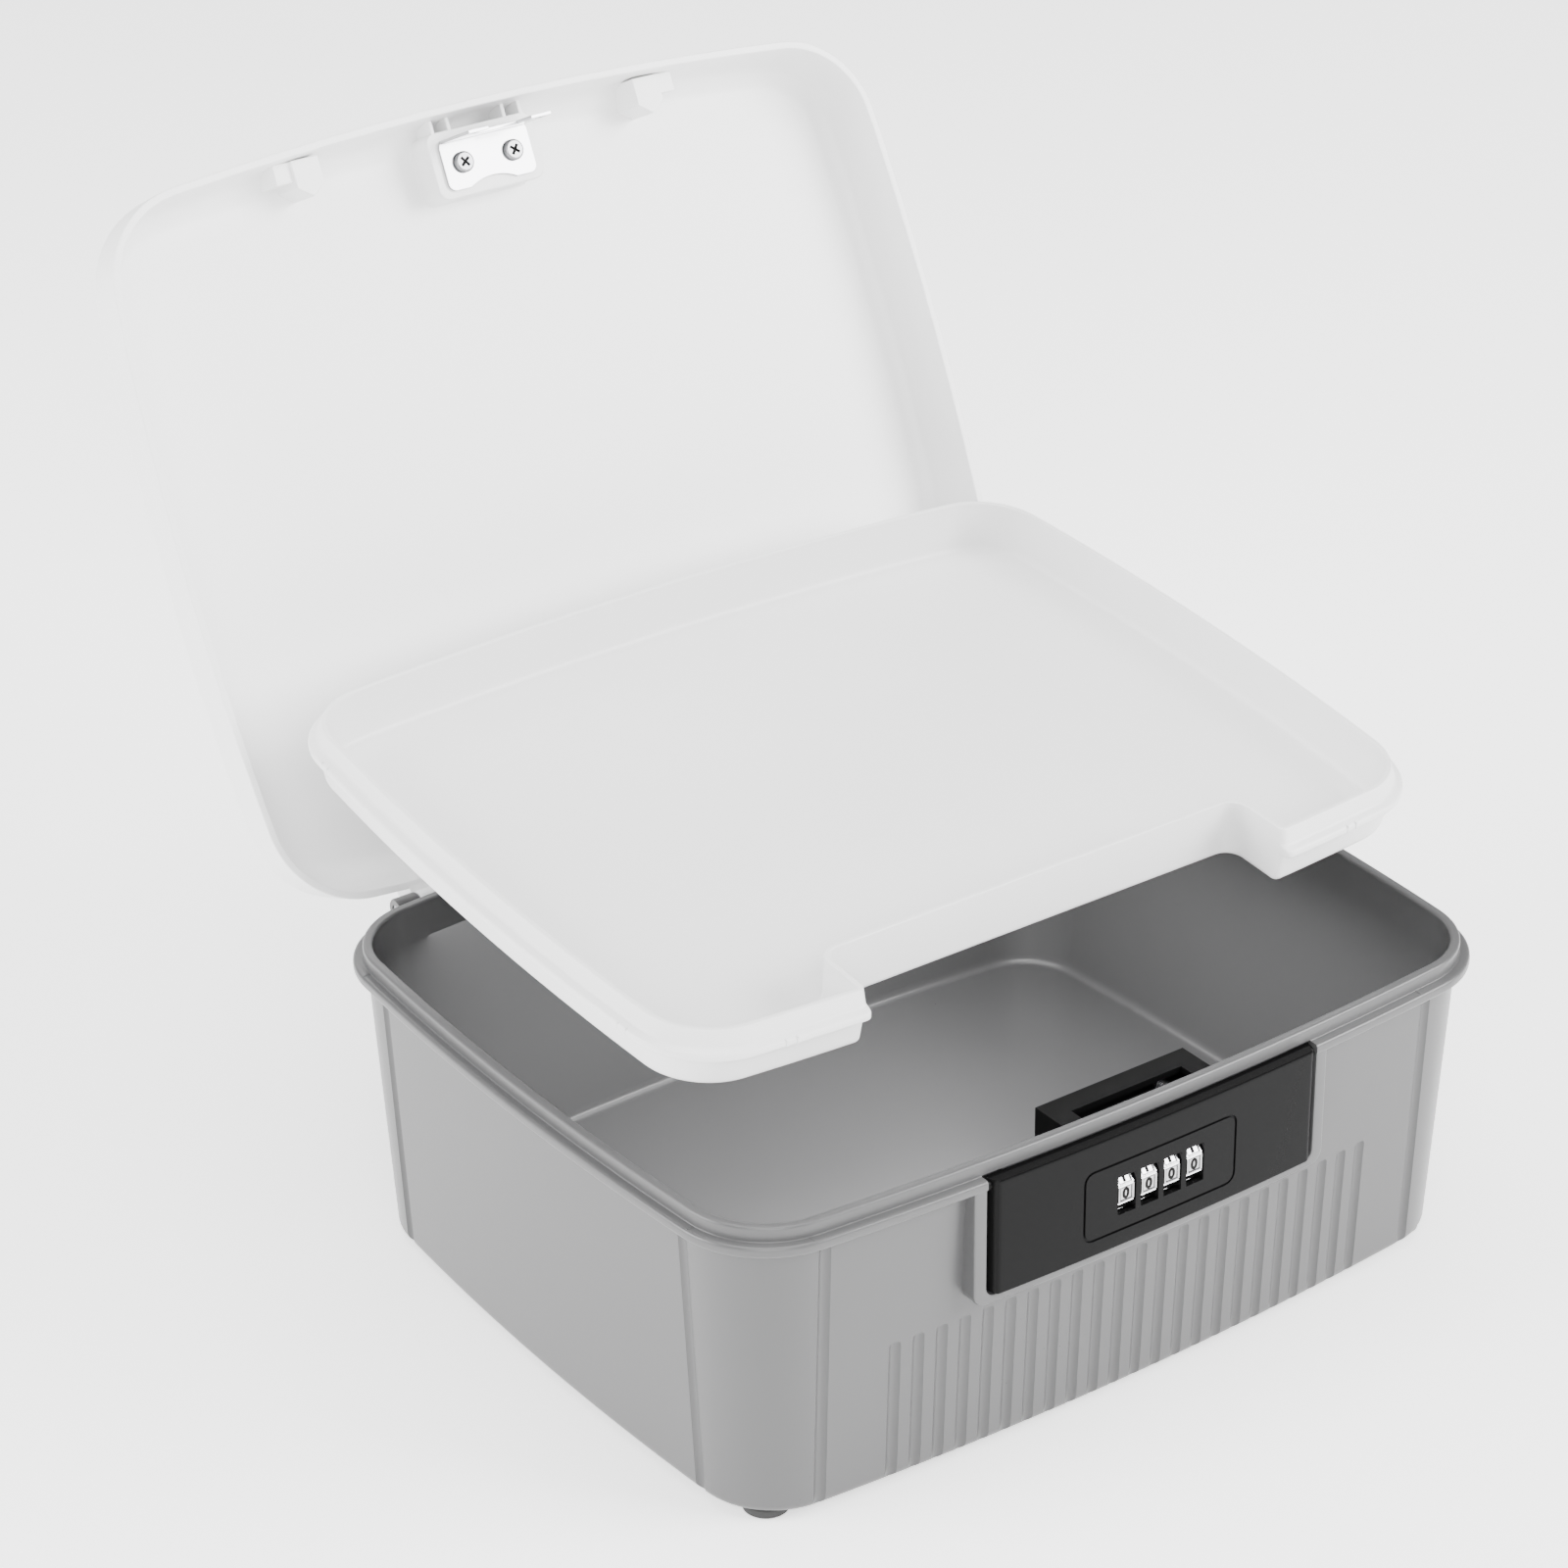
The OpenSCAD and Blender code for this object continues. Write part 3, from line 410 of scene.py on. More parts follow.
CHROME = plated("bright_strike_plating", (0.40, 0.40, 0.41), (0.52, 0.52, 0.53), 0.16, (1, 8, 1), spread=0.08)
STEEL = plated("zinc_steel", (0.24, 0.24, 0.25), (0.38, 0.38, 0.39), 0.30, (1, 5, 5))
RUBBER = moulded("foot_rubber", (0.012, 0.012, 0.012), (0.028, 0.028, 0.028), 0.72,
                 grain=1100.0, depth=0.00006)
INK = moulded("digit_ink", (0.003, 0.003, 0.003), (0.007, 0.007, 0.007), 0.55,
              grain=2000.0, Specular_IOR_Level=0.08)
# painted shade: a dark finish for sheets laid in the screws' cross recesses, standing for the shadow at their
# bottoms
PAINTED_RECESS_SHADE = moulded("painted_shade_in_recess", (0.012, 0.012, 0.012), (0.024, 0.024, 0.024), 0.6,
                 grain=2000.0, Specular_IOR_Level=0.1)


def give(piece, material):
    """Makes a material the piece's only one."""
    piece.data.materials.clear()
    piece.data.materials.append(material)


def fit(piece, body, material, nodes=(), angle=32, weighted=True):
    """Shades a finished piece, gives it its material and hangs it on its body."""
    smooth(piece, angle, weighted)
    give(piece, material)
    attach(piece, body)
    if nodes:
        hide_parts(*nodes)
    return piece


def copy_of(node, name, edge):
    """A CAD node's shape with its triangles merged and its edges rounded."""
    piece = bpy.data.objects.new(name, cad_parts[node].data.copy())
    bpy.context.scene.collection.objects.link(piece)
    only(piece)
    bpy.ops.object.mode_set(mode="EDIT")
    bpy.ops.mesh.select_all(action="SELECT")
    bpy.ops.mesh.remove_doubles(threshold=0.000002)
    bpy.ops.mesh.customdata_custom_splitnormals_clear()
    bpy.ops.mesh.dissolve_limited(angle_limit=math.radians(1))
    bpy.ops.object.mode_set(mode="OBJECT")
    round_edges(piece, edge, 30, 2)
    return piece


# ---------------------------------------------------------------- camera
def look():
    """The photograph's camera: place, yaw, pitch and roll from the fit to the picture."""
    side_px, focal_px, centre_x, centre_y = 1600, 4482.9, 786.3, 813.1
    yaw, pitch, roll = map(math.radians, (35.09, 27.92, -0.91))
    ahead = Vector((math.sin(yaw) * math.cos(pitch), math.cos(yaw) * math.cos(pitch), -math.sin(pitch)))
    right = ahead.cross(Vector((0, 0, 1))).normalized()
    up = right.cross(ahead)
    side = right * math.cos(roll) + up * math.sin(roll)
    top = up * math.cos(roll) - right * math.sin(roll)
    data = bpy.data.cameras.new("camera")
    data.sensor_width, data.lens = 36.0, focal_px / side_px * 36
    data.shift_x, data.shift_y = (side_px / 2 - centre_x) / side_px, (centre_y - side_px / 2) / side_px
    data.clip_start, data.clip_end = 0.01, 50
    camera = bpy.data.objects.new("camera", data)
    bpy.context.scene.collection.objects.link(camera)
    turn = Matrix((side, top, -ahead)).transposed().to_4x4()
    camera.matrix_world = Matrix.Translation(Vector((-790.9, -1043.9, 865.2)) * MM) @ turn
    bpy.context.scene.camera = camera


look()


# ---------------------------------------------------------------- tub
def groove(foot, head):
    """Round groove tool from foot to head, which leans with the wall and runs out softly at its top."""
    foot, head = Vector(foot), Vector(head)
    rise = (head - foot).normalized()
    loops = []
    for along, thinner in ((0, 0), (-1.6, 0), (-0.8, 0.15), (-0.25, 0.5), (0, 1.0)):
        centre = head + rise * along if loops else foot
        loops.append([centre + point for point in circle(GROOVE_R - thinner, 24)])
    return loft("groove", loops)


def front_groove(x, top, side=-1):
    """Groove in a long side at x; side is -1 at the front and 1 at the back."""
    low, high = (front_reach(abs(x), wall_off(z)) + GROOVE_OUT for z in (GROOVE_BOT, top))
    return groove((x, side * low, GROOVE_BOT), (x, side * high, top))


def end_groove(y, side):
    """Groove in a short side at y; side is -1 at the left and 1 at the right."""
    low, high = (end_reach(abs(y), wall_off(z)) + GROOVE_OUT for z in (GROOVE_BOT, GROOVE_TOP))
    return groove((side * low, y, GROOVE_BOT), (side * high, y, GROOVE_TOP))


def knuckle(profile, start, end):
    """Hinge knuckle with its web, rounded at both ends and bored for the pin."""
    middle = Vector((sum(p[0] for p in profile) / len(profile), sum(p[1] for p in profile) / len(profile)))
    loops = []
    for x, shrink in ((start, 0.92), (start + 0.4, 1), (end - 0.4, 1), (end, 0.92)):
        loops.append([(x, middle.x + (y - middle.x) * shrink, middle.y + (z - middle.y) * shrink)
                      for y, z in profile])
    bore = rod("bore", (start - 1, HINGE_Y, HINGE_Z), (end + 1, HINGE_Y, HINGE_Z), HINGE_BORE, 24)
    return carve(loft("knuckle", loops), bore)


def knuckle_arc(first, last, count=14):
    """Points on a knuckle's round side, from one angle to another."""
    return arc_points(HINGE_Y, HINGE_Z, KNUCKLE_R, math.radians(first), math.radians(last), count)


def frame_line(side, low, radius):
    """A line down one side of the panel's opening, along below it and up the other side."""
    turn_x, turn_z = side + radius, low + radius
    line = [(side, z) for z in (108.6, 98, 84)]
    line += arc_points(turn_x, turn_z, radius, math.pi, 1.5 * math.pi, 6)
    line += [(turn_x * (1 - k / 12), low) for k in range(1, 13)]
    return line + [(-x, z) for x, z in reversed(line[:-1])]


def lock_frame():
    """Raised rail round the panel's opening, its edges eased."""
    outer = frame_line(-OPEN_X - FRAME_SIDE, FRAME_BOT, FRAME_SIDE)
    inner = frame_line(-OPEN_X, OPEN_BOT, OPEN_ROUND)
    loops = []
    for o, i in zip(map(Vector, outer), map(Vector, inner)):
        across = (i - o).normalized()
        face = [(o, 1.0), (o + across * 0.25, 0.35), (o + across * 0.9, 0),
                (i - across * 0.7, 0), (i - across * 0.2, 0.25), (i, 0.8)]
        loops.append([(o.x, FRAME_ROOT, o.y)]
                     + [(p.x, -front_reach(p.x, 0.2 + down), p.y) for p, down in face]
                     + [(i.x, FRAME_ROOT, i.y)])
    return loft("rail", loops)


def rim_ticks():
    """Short raised lines across the bead's top: two at the front and one near each corner of the ends."""
    low, top, half, ticks = 110.4, BEAD_TOP + 0.14, 0.5, []
    for x in (-132, 119):
        y = -front_reach(x, 0)
        ticks.append(block("tick", (x - half, y + 0.9, low), (x + half, y + 4.2, top), 0.1))
    for y in (-97, 97):
        for s in (-1, 1):
            x = s * (end_reach(y, 0) - 2.5)
            ticks.append(block("tick", (x - 1.7, y - half, low), (x + 1.7, y + half, top), 0.1))
    return ticks


def make_tub():
    """Tub: wall with bead and lip, seat of the lock, grooves, frame, knuckles, bosses and ticks."""
    rounder = 2.9
    # from under the floor up the outside, over bead and lip, and down the inside
    tub = shell("tub_wall", [
        (16, FOOT_H, rounder, 0), (9.5, FOOT_H, rounder, 3), (WALL_IN, BEAD_BOT, 0, 0.9),
        (0, BEAD_BOT, 0, 1.5), (0, BEAD_TOP, 0, 1.5), (3.6, BEAD_TOP, 0, 0.5), (3.6, TUB_H, 0, 1.2),
        (7.2, TUB_H, 0, 1.2), (7.4, BEAD_BOT, 0, 0), (12.1, FLOOR, rounder, 4), (18, FLOOR, rounder, 0)])
    # seat of the panel, window behind it, pockets for its ears, blind holes for the feet
    opening = (-OPEN_X, OPEN_BOT, OPEN_X, OPEN_TOP, OPEN_ROUND)
    carve(tub, loft("seat", [plate_loop(*opening, lambda x: -139.0),
                             plate_loop(*opening, lambda x: -front_reach(x, 4.9))]))
    carve(tub, block("window", (-30.2, -138, 70.6), (30.2, -121.4, 104.6)))
    half = 4.5
    for middle in (half - OPEN_X, OPEN_X - half):
        carve(tub, block("pocket", (middle - half, -138.5, 105.3), (middle + half, PIVOT_Y + 3, OPEN_TOP)))
    carve(tub, together("holes", [rod("hole", (x, y, 1), (x, y, 5.6), 3.5, 32) for x, y in FOOT_SPOTS]))
    # a row of grooves below the lock, and one pair beside each corner
    count, pitch, row_top, corner_x, corner_y = 23, 9.0, 58.3, 126, 89.5
    both = [(s, side) for s in (-1, 1) for side in (-1, 1)]
    grooves = [front_groove((i - count // 2) * pitch, row_top) for i in range(count)]
    grooves += [front_groove(s * corner_x, GROOVE_TOP, side) for s, side in both]
    grooves += [end_groove(s * corner_y, side) for s, side in both]
    carve(tub, together("grooves", grooves))
    parts = [tub, lock_frame()]
    profile = [(122.5, 96.8), (122.5, 107.9)] + knuckle_arc(159, -44)
    for s in (-1, 1):
        for near in (HINGE_X - KNUCKLE_GAP - TUB_KNUCKLE, HINGE_X + KNUCKLE_GAP):
            start = near if s > 0 else -near - TUB_KNUCKLE
            parts.append(knuckle(profile, start, start + TUB_KNUCKLE))
    for x, z in HOUSING_SCREWS:
        parts.append(rod("boss", (x, -front_reach(x, wall_off(z) + 1), z), (x, -120.02, z), 3.6, 32, 0.3))
    return fit(together("tub_moulding", parts + rim_ticks()), "tub", GREY, ["box_tub"])


# ---------------------------------------------------------------- lid
def lid_block(side):
    """Block beside the lock with a wedge at its back, and its thin web."""
    low, near, far, web_x = LID_Z + 9, 67, 78.2, 85
    y = -front_reach(web_x, 2.8)
    corners = [(near, y), (far, y), (far, y + 10), ((near + far) / 2, y + 14), (near, y + 10)]
    body = loft("body", [[(*corner, z) for corner in corners] for z in (low, LID_ROOT)])
    round_edges(body, 0.45)
    web = block("web", (far - 0.6, y, low + 1.5), (web_x, y + 7.5, LID_ROOT), 0.4)
    return (body, web) if side > 0 else (mirrored(body), mirrored(web))


def boss_ring(inset, z):
    """Outline of the strike's boss at height z, drawn in by inset."""
    ring = plate_loop(-BOSS_X + inset, -126.0 + inset, BOSS_X - inset, -101.5 - inset,
                      4.0 - min(inset, 0), lambda x: 0, 6, 6)
    return [(x, y, z) for x, _, y in ring]


def make_lid():
    """Lid: skirt with a raised middle, boss and ribs for the strike, two blocks and two knuckles."""
    # from inside the middle down to the rim, and up the outside over the step
    lid = shell("lid_shell", [
        (16, LID_PANEL, 0, 0), (11, LID_PANEL, 0, 3), (5.2, LID_PANEL - 3.2, 0, 2.4),
        (3.4, LID_PANEL - 8, 0, 2), (2.2, LID_Z, 0, 0.6), (-0.6, LID_Z, 0, 0.7),
        (0.5, LID_Z + 18.7, 0, 1.5), (1.9, LID_Z + 21.6, 0, 1.6), (4.9, LID_Z + 23.5, 0, 2.0),
        (10.6, LID_Z + 24.9, 0, 0.7), (11.5, LID_Z + 26.9, 0, 0.7), (14.5, LID_Z + LID_H, 0, 1.2),
        (20, LID_Z + LID_H, 0, 0)])
    boss = loft("boss", [boss_ring(inset, z) for inset, z in (
        (0.6, BOSS_Z), (0.18, BOSS_Z + 0.25), (0, BOSS_Z + 0.7),
        (0, LID_PANEL - 1.2), (-0.4, LID_PANEL - 0.3), (-1.6, LID_ROOT))])
    for x in (-STRIKE_X, STRIKE_X):
        carve(boss, rod("hole", (x, STRIKE_Y, BOSS_Z - 1), (x, STRIKE_Y, BOSS_Z + 8.2), 1.65, 24))
    rib_y = -front_reach(BOSS_X, 2.7)
    inner = [boss] + [block("rib", (x, rib_y, BOSS_Z), (x + 1.5, -125.5, LID_ROOT), 0.3)
                      for x in (-19.5, -12.5, 11.0, 18.0)]
    inner += [*lid_block(-1), *lid_block(1)]
    # the boss, the ribs and the blocks end inside the lid's wall
    room = shell("room", [(0.8, LID_Z + 1, 0, 0), (1.9, LID_Z + 18.7, 0, 0), (3, LID_Z + 20.6, 0, 0),
                          (4.6, LID_Z + 22.4, 0, 0), (7, LID_Z + 23.5, 0, 0), (9.5, LID_Z + 24.1, 0, 0),
                          (13, LID_ROOT, 0, 0)])
    for piece in inner:
        use(piece, "BOOLEAN", object=room, operation="INTERSECT", solver="EXACT")
    bpy.data.objects.remove(room)
    profile = [(127, 112.4), (127, 123), (131.3, 123)] + knuckle_arc(30, -220, 20)
    knuckles = [knuckle(profile, x - LID_KNUCKLE / 2, x + LID_KNUCKLE / 2) for x in (-HINGE_X, HINGE_X)]
    piece = put(together("lid_moulding", [lid] + inner + knuckles), LID_PLACE)
    return fit(piece, "lid", WHITE, ["lid"])


# ---------------------------------------------------------------- tray
def tray_ring(off, z, grow):
    """The tray's outline at height z, drawn in by off, its notch for the lock let out by grow."""
    back = quarter_of(off)
    front, side, fillet = back[:END_STEPS + CORNER_STEPS + 1], NOTCH_X + grow, max(1.2, 3.0 - grow)
    start, reach = front[-1][0], front_reach(side, off)
    for i in range(1, 9):
        x = start + (side + fillet - start) * i / 8
        front.append((x, front_reach(x, off)))
    near, bend, far = Vector(front[-1]), Vector((side, reach)), Vector((side, reach - fillet))
    for i in range(1, 7):
        t = i / 6
        front.append(tuple(near * (1 - t) ** 2 + bend * 2 * t * (1 - t) + far * t * t))
    turn_x, turn_y, radius = NOTCH_X - NOTCH_ROUND, NOTCH_Y + NOTCH_ROUND, NOTCH_ROUND + grow
    front += [(side, far.y + (turn_y - far.y) * i / 4) for i in range(1, 5)]
    front += arc_points(turn_x, turn_y, radius, 0, -math.pi / 2, 10)[1:]
    front += [(turn_x * (1 - i / 6), NOTCH_Y - grow) for i in range(1, 7)]
    return whole(back, front, z)


def make_tray():
    """Tray: rolled rim, sloping wall, notch for the lock, and paired ticks on the outside of the rim."""
    rim = 4.4
    # from under the floor up to the rolled rim, and down the inside
    profile = [(14, TRAY_BOT, 4.2, 0), (9.8, TRAY_BOT, 0, 2.2), (8.1, SEAT, 0, 0.4), (rim, SEAT, 0, 0.8),
               (rim, SEAT + 2.5, 0, 1.0), (7.4, SEAT + 3.7, 0, 0.9), (9.1, TRAY_TOP, 0, 0.5),
               (10.9, TRAY_TOP, 1.8, 0.5), (11.8, TRAY_BOT + 1.8, 1.8, 3.4), (19, TRAY_BOT + 1.8, 9, 0)]
    parts = [loft("tray_shell", [tray_ring(*spot) for spot in eased(profile)])]
    low, top, half = SEAT + 0.4, SEAT + 3.0, 0.4
    for x in (-118, -114, 114, 118):
        y = -front_reach(x, rim)
        parts.append(block("tick", (x - half, y - 0.25, low), (x + half, y + 2.0, top), 0.15))
    for y in (-92, -88, 88, 92):
        for s in (-1, 1):
            x = s * end_reach(y, rim)
            inside, outside = sorted((x, x - s * 2))
            parts.append(block("tick", (inside - 0.12, y - half, low), (outside + 0.12, y + half, top), 0.15))
    piece = put(together("tray_moulding", parts), TRAY_PLACE)
    return fit(piece, "tray", TRAY_WHITE, ["tray"])


# ---------------------------------------------------------------- lock panel
def panel_plate():
    """The panel's bowed plate: sloping sides, round lower corners and eased edges."""
    back_at = lambda x: -front_reach(x, PANEL_BACK)
    face_at = lambda x: -front_reach(x, PANEL_FACE)
    side, thick, slope, radius = back_at(PANEL_X), PANEL_BACK - PANEL_FACE, 2.4, 3
    # stations along the right half, from its end to the middle: x, and y of the face there
    stations = [(PANEL_X - d, side - thick * d / slope + ease) for d, ease in
                ((0.04, 0), (0.8, 0), (1.5, 0), (1.95, 0), (2.25, 0.1))]
    stations += [(PANEL_X - d, face_at(PANEL_X - d) + ease) for d, ease in ((2.6, 0.2), (3.1, 0.05))]
    stations += [(x, face_at(x)) for x in (PANEL_X - 3.8, 58, 50, 40, 30, 20, 10)]
    stations = [(-x, y) for x, y in stations] + [(0, face_at(0))] + stations[::-1]
    loops = []
    for x, face in stations:
        bend = max(0.0, abs(x) - PANEL_X + radius)
        low, back = PANEL_Z + radius - math.sqrt(max(0.0, radius ** 2 - bend * bend)), back_at(x)
        share = min(1.0, (back - face) / slope)
        edge, corner = 0.8 * share, 0.23 * share
        loops.append([(x, back, low), (x, back, PANEL_TOP), (x, face + edge, PANEL_TOP),
                      (x, face + corner, PANEL_TOP - corner), (x, face, PANEL_TOP - edge),
                      (x, face, low + edge), (x, face + corner, low + corner), (x, face + edge, low)])
    return loft("plate", loops)


def on_axle(name, start, end, radius, sides):
    """A round bar along the wheels' axle."""
    return rod(name, (start, WHEEL_Y, WHEEL_Z), (end, WHEEL_Y, WHEEL_Z), radius, sides)


def line_loop(inset, radius, depth):
    """A loop along the engraved line's rectangle, drawn in by inset."""
    return plate_loop(-32.1 + inset, 74.3 + inset, 32.1 - inset, 101.3 - inset, radius, depth)


def make_panel():
    """Push panel: plate with windows, wheel rooms and an engraved line, two ears and two push bosses."""
    panel, parts = panel_plate(), []
    for s in (-1, 1):
        ear_x, bore_x, push_x = s * (PANEL_X - 3.5), s * (PANEL_X - 2), s * PUSH_X
        ear = rod("ear", (ear_x - 3.5, PIVOT_Y, PIVOT_Z), (ear_x + 3.5, PIVOT_Y, PIVOT_Z), 2.1, 32, 0.2)
        carve(ear, rod("bore", (bore_x - 2.5, PIVOT_Y, PIVOT_Z), (bore_x + 2.5, PIVOT_Y, PIVOT_Z), 1.05, 24))
        parts.append(ear)
        parts.append(block("push", (push_x - 1.35, -130.0, 71), (push_x + 1.35, -119.8, 75), 0.3))
    # room for the sleeves, the windows, the wheels' room behind them, then the engraved line
    carve(panel, on_axle("sleeves", WHEEL_X[0], WHEEL_X[3] + 6.4, 5.8, 40))
    windows = [block("window", (x - 3.7, -138, WHEEL_Z - 7.2), (x + 3.7, -121, WHEEL_Z + 7.2))
               for x in WHEEL_X]
    carve(panel, together("windows", windows))
    rooms = [on_axle("room", x - 3.74, x + 3.74, 10.9, 64) for x in WHEEL_X]
    carve(panel, together("rooms", rooms))
    ring = loft("ring", [line_loop(0, 4, lambda x: -141.0), line_loop(0, 4, lambda x: -front_reach(x, -0.8))])
    carve(ring, loft("core", [line_loop(0.9, 3.2, lambda x: -142.0),
                              line_loop(0.9, 3.2, lambda x: -front_reach(x, 1.5))]))
    carve(panel, ring)
    piece = together("panel_moulding", [panel] + parts)
    return fit(piece, "panel", PANEL_BLACK, ["lock_panel"], angle=25)


# ---------------------------------------------------------------- number wheels
def wheel_shape():
    """One wheel at the origin: ten framed faces, grips between them and sunk rings in its sides."""
    clear()
    bpy.ops.mesh.primitive_cylinder_add(vertices=10, radius=WHEEL_R * MM, depth=WHEEL_W * MM,
                                        rotation=(0, math.pi / 2, 0))
    wheel = bpy.context.object
    bpy.ops.object.transform_apply(location=False, rotation=True, scale=True)
    put(wheel, Matrix.Rotation(math.radians(WHEEL_STEP / 2), 4, "X"))
    bpy.ops.object.mode_set(mode="EDIT")
    mesh = bmesh.from_edit_mesh(wheel.data)
    bpy.ops.mesh.select_all(action="DESELECT")
    for face in mesh.faces:
        face.select = abs(face.normal.x) < 0.5
    bmesh.update_edit_mesh(wheel.data)
    border, slope, depth = 0.55, 0.15, 0.30
    bpy.ops.mesh.inset(thickness=border * MM, use_individual=True)
    bpy.ops.mesh.inset(thickness=slope * MM, depth=-depth * MM, use_individual=True)
    bpy.ops.object.mode_set(mode="OBJECT")
    past = WHEEL_W / 2 + 0.85
    bars = []
    for k in range(10):
        a = math.radians(WHEEL_STEP / 2 + WHEEL_STEP * k)
        y, z = -WHEEL_R * math.cos(a), WHEEL_R * math.sin(a)
        bars.append(rod("grip", (-past, y, z), (past, y, z), 0.42, 12))
    carve(wheel, together("grips", bars))
    carve(wheel, rod("bore", (-past, 0, 0), (past, 0, 0), 4.25, 40))
    for side in (-WHEEL_W / 2, WHEEL_W / 2):
        sunk = rod("sunk", (side - 0.5, 0, 0), (side + 0.5, 0, 0), 8.4, 48)
        carve(sunk, rod("core", (side - 1, 0, 0), (side + 1, 0, 0), 6.4, 48))
        carve(wheel, sunk)
    carve(wheel, block("keyway", (-past, -0.9, -5.6), (past, 0.9, 0)))
    return wheel


def digit_shapes():
    """Ten bold digits in their sunk fields, each in a thin painted frame."""
    size, thick, bolder, margin, line = 5.4, 0.06, 0.25, 0.78, 0.2
    wide, high = WHEEL_W / 2 - margin, WHEEL_R * math.sin(math.radians(WHEEL_STEP / 2)) - margin
    stand_up, parts = Matrix.Translation((0, -9.62 * MM, 0)) @ Matrix.Rotation(math.pi / 2, 4, "X"), []
    for digit in range(10):
        clear()
        bpy.ops.object.text_add()
        letter = bpy.context.object
        letter.data.body = str(digit)
        letter.data.size, letter.data.extrude, letter.data.offset = size * MM, thick * MM, bolder * MM
        letter.data.resolution_u = 4
        bpy.ops.object.convert(target="MESH")
        letter = bpy.context.object
        spots = [v.co for v in letter.data.vertices]
        middle = Vector([(min(c[k] for c in spots) + max(c[k] for c in spots)) / 2 for k in range(3)])
        turn = Matrix.Rotation(math.radians(-WHEEL_STEP * digit), 4, "X")
        parts.append(put(letter, turn @ stand_up @ Matrix.Translation(-middle)))
        for low_x, low_z, top_x, top_z in (
                (-wide, -high, wide, line - high), (-wide, high - line, wide, high),
                (-wide, -high, line - wide, high), (wide - line, -high, wide, high)):
            parts.append(put(block("line", (low_x, -9.66, low_z), (top_x, -9.5, top_z)), turn))
    return together("digits", parts)


def make_wheels():
    """Four wheels, each a plated rim and its painted digits."""
    rim, ink = wheel_shape(), digit_shapes()
    for number, x in enumerate(WHEEL_X, 1):
        spot = Matrix.Translation(Vector((x, WHEEL_Y, WHEEL_Z)) * MM)
        for source, name, material, slot, nodes in (
                (rim, "wheel_rim_%d", SILVER, "wheel_silver", ["number_wheel_%d" % number]),
                (ink, "wheel_digits_%d", INK, "black_plastic", ())):
            piece = put(linked(name % number, source.data.copy()), spot)
            fit(piece, "wheel_%d" % number, material, nodes, angle=28, weighted=source is rim)
    bpy.data.objects.remove(rim)
    bpy.data.objects.remove(ink)


# ---------------------------------------------------------------- small pieces
def make_feet():
    """Rubber feet, hollowed below, each with a short peg that ends inside the floor."""
    peg = 3.45
    profile = [(5.2, 0.5), (5.6, 0), (7.3, 0), (7.85, 0.35), (8, 0.9), (8, 3.0), (7.6, FOOT_H),
               (peg, FOOT_H), (peg, 5.4)]
    pattern = loft("foot", [circle(radius, 48, z) for radius, z in profile])
    names = ("front_left", "front_right", "back_left", "back_right")
    for name, (x, y) in zip(names, FOOT_SPOTS):
        foot = linked("rubber_foot_" + name, pattern.data.copy())
        put(foot, Matrix.Translation(Vector((x, y, 0)) * MM))
        fit(foot, "tub", RUBBER, ["foot_" + name])
    bpy.data.objects.remove(pattern)


def make_spring(name, x, node):
    """Coil spring between the catch and the back of its housing."""
    turns, steps, y0, y1, z, r, wire = 7, 18, -116.3, -109.4, 104.0, 2.15, 0.33
    data = bpy.data.curves.new(name, "CURVE")
    data.dimensions, data.bevel_depth, data.bevel_resolution = "3D", wire * MM, 3
    count = turns * steps
    line = data.splines.new("POLY")
    line.points.add(count)
    for i in range(count + 1):
        a = 2 * math.pi * turns * i / count
        y = y0 + wire + (y1 - y0 - 2 * wire) * i / count
        line.points[i].co = ((x + r * math.cos(a)) * MM, y * MM, (z + r * math.sin(a)) * MM, 1)
    data.use_fill_caps = True
    only(linked(name, data))
    bpy.ops.object.convert(target="MESH")
    coil = bpy.context.object
    fit(coil, "tub", STEEL, [node], angle=60, weighted=False)
    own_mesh(coil)


def screw_set(name, node, body, spots, axis, head, height, shank, length):
    """Pan head screws at spots of (x, y, z, turn): domed head, cross recess with a dark sheet in it as
    painted shade, and shank.
    """
    parts, painted_shade_pieces = [], []
    arm, half = head * 0.56, 0.14 * head
    for x, y, z, turn in spots:
        clear()
        bpy.ops.mesh.primitive_cylinder_add(vertices=40, radius=head * MM, depth=height * MM)
        top = bpy.context.object
        top.location = (0, 0, height / 2 * MM)
        bpy.ops.object.transform_apply(location=True, rotation=True, scale=True)
        round_edges(top, height * 0.62, 50, 5)
        arms = (arm, half), (half, arm)
        bars = [block("cross", (-a, -b, height * 0.1), (a, b, height + 1)) for a, b in arms]
        # dark sheets at the bottom of each cross recess: painted shade, not a part of the screw
        shade_floors = [block("floor", (0.02 - a, 0.02 - b, height * 0.06), (a - 0.02, b - 0.02, height * 0.45))
                  for a, b in arms]
        carve(top, carve(*bars, "UNION"))
        one = together("screw", [top, rod("shank", (0, 0, -length), (0, 0, 0.2), shank, 24)])
        facing = Vector(axis).to_track_quat("Z", "Y").to_matrix().to_4x4() @ Matrix.Rotation(turn, 4, "Z")
        place = Matrix.Translation(Vector((x, y, z)) * MM) @ facing
        parts.append(put(one, place))
        painted_shade_pieces.append(put(together("shade_floors", shade_floors), place))
    # the dark sheets are joined into one piece of painted shade
    piece, dark = together(name, parts), together(name + "_recess_painted_shade", painted_shade_pieces)
    if body == "lid":
        put(piece, LID_PLACE)
        put(dark, LID_PLACE)
    fit(dark, body, PAINTED_RECESS_SHADE, angle=30, weighted=False)
    return fit(piece, body, STEEL, [node], angle=30)


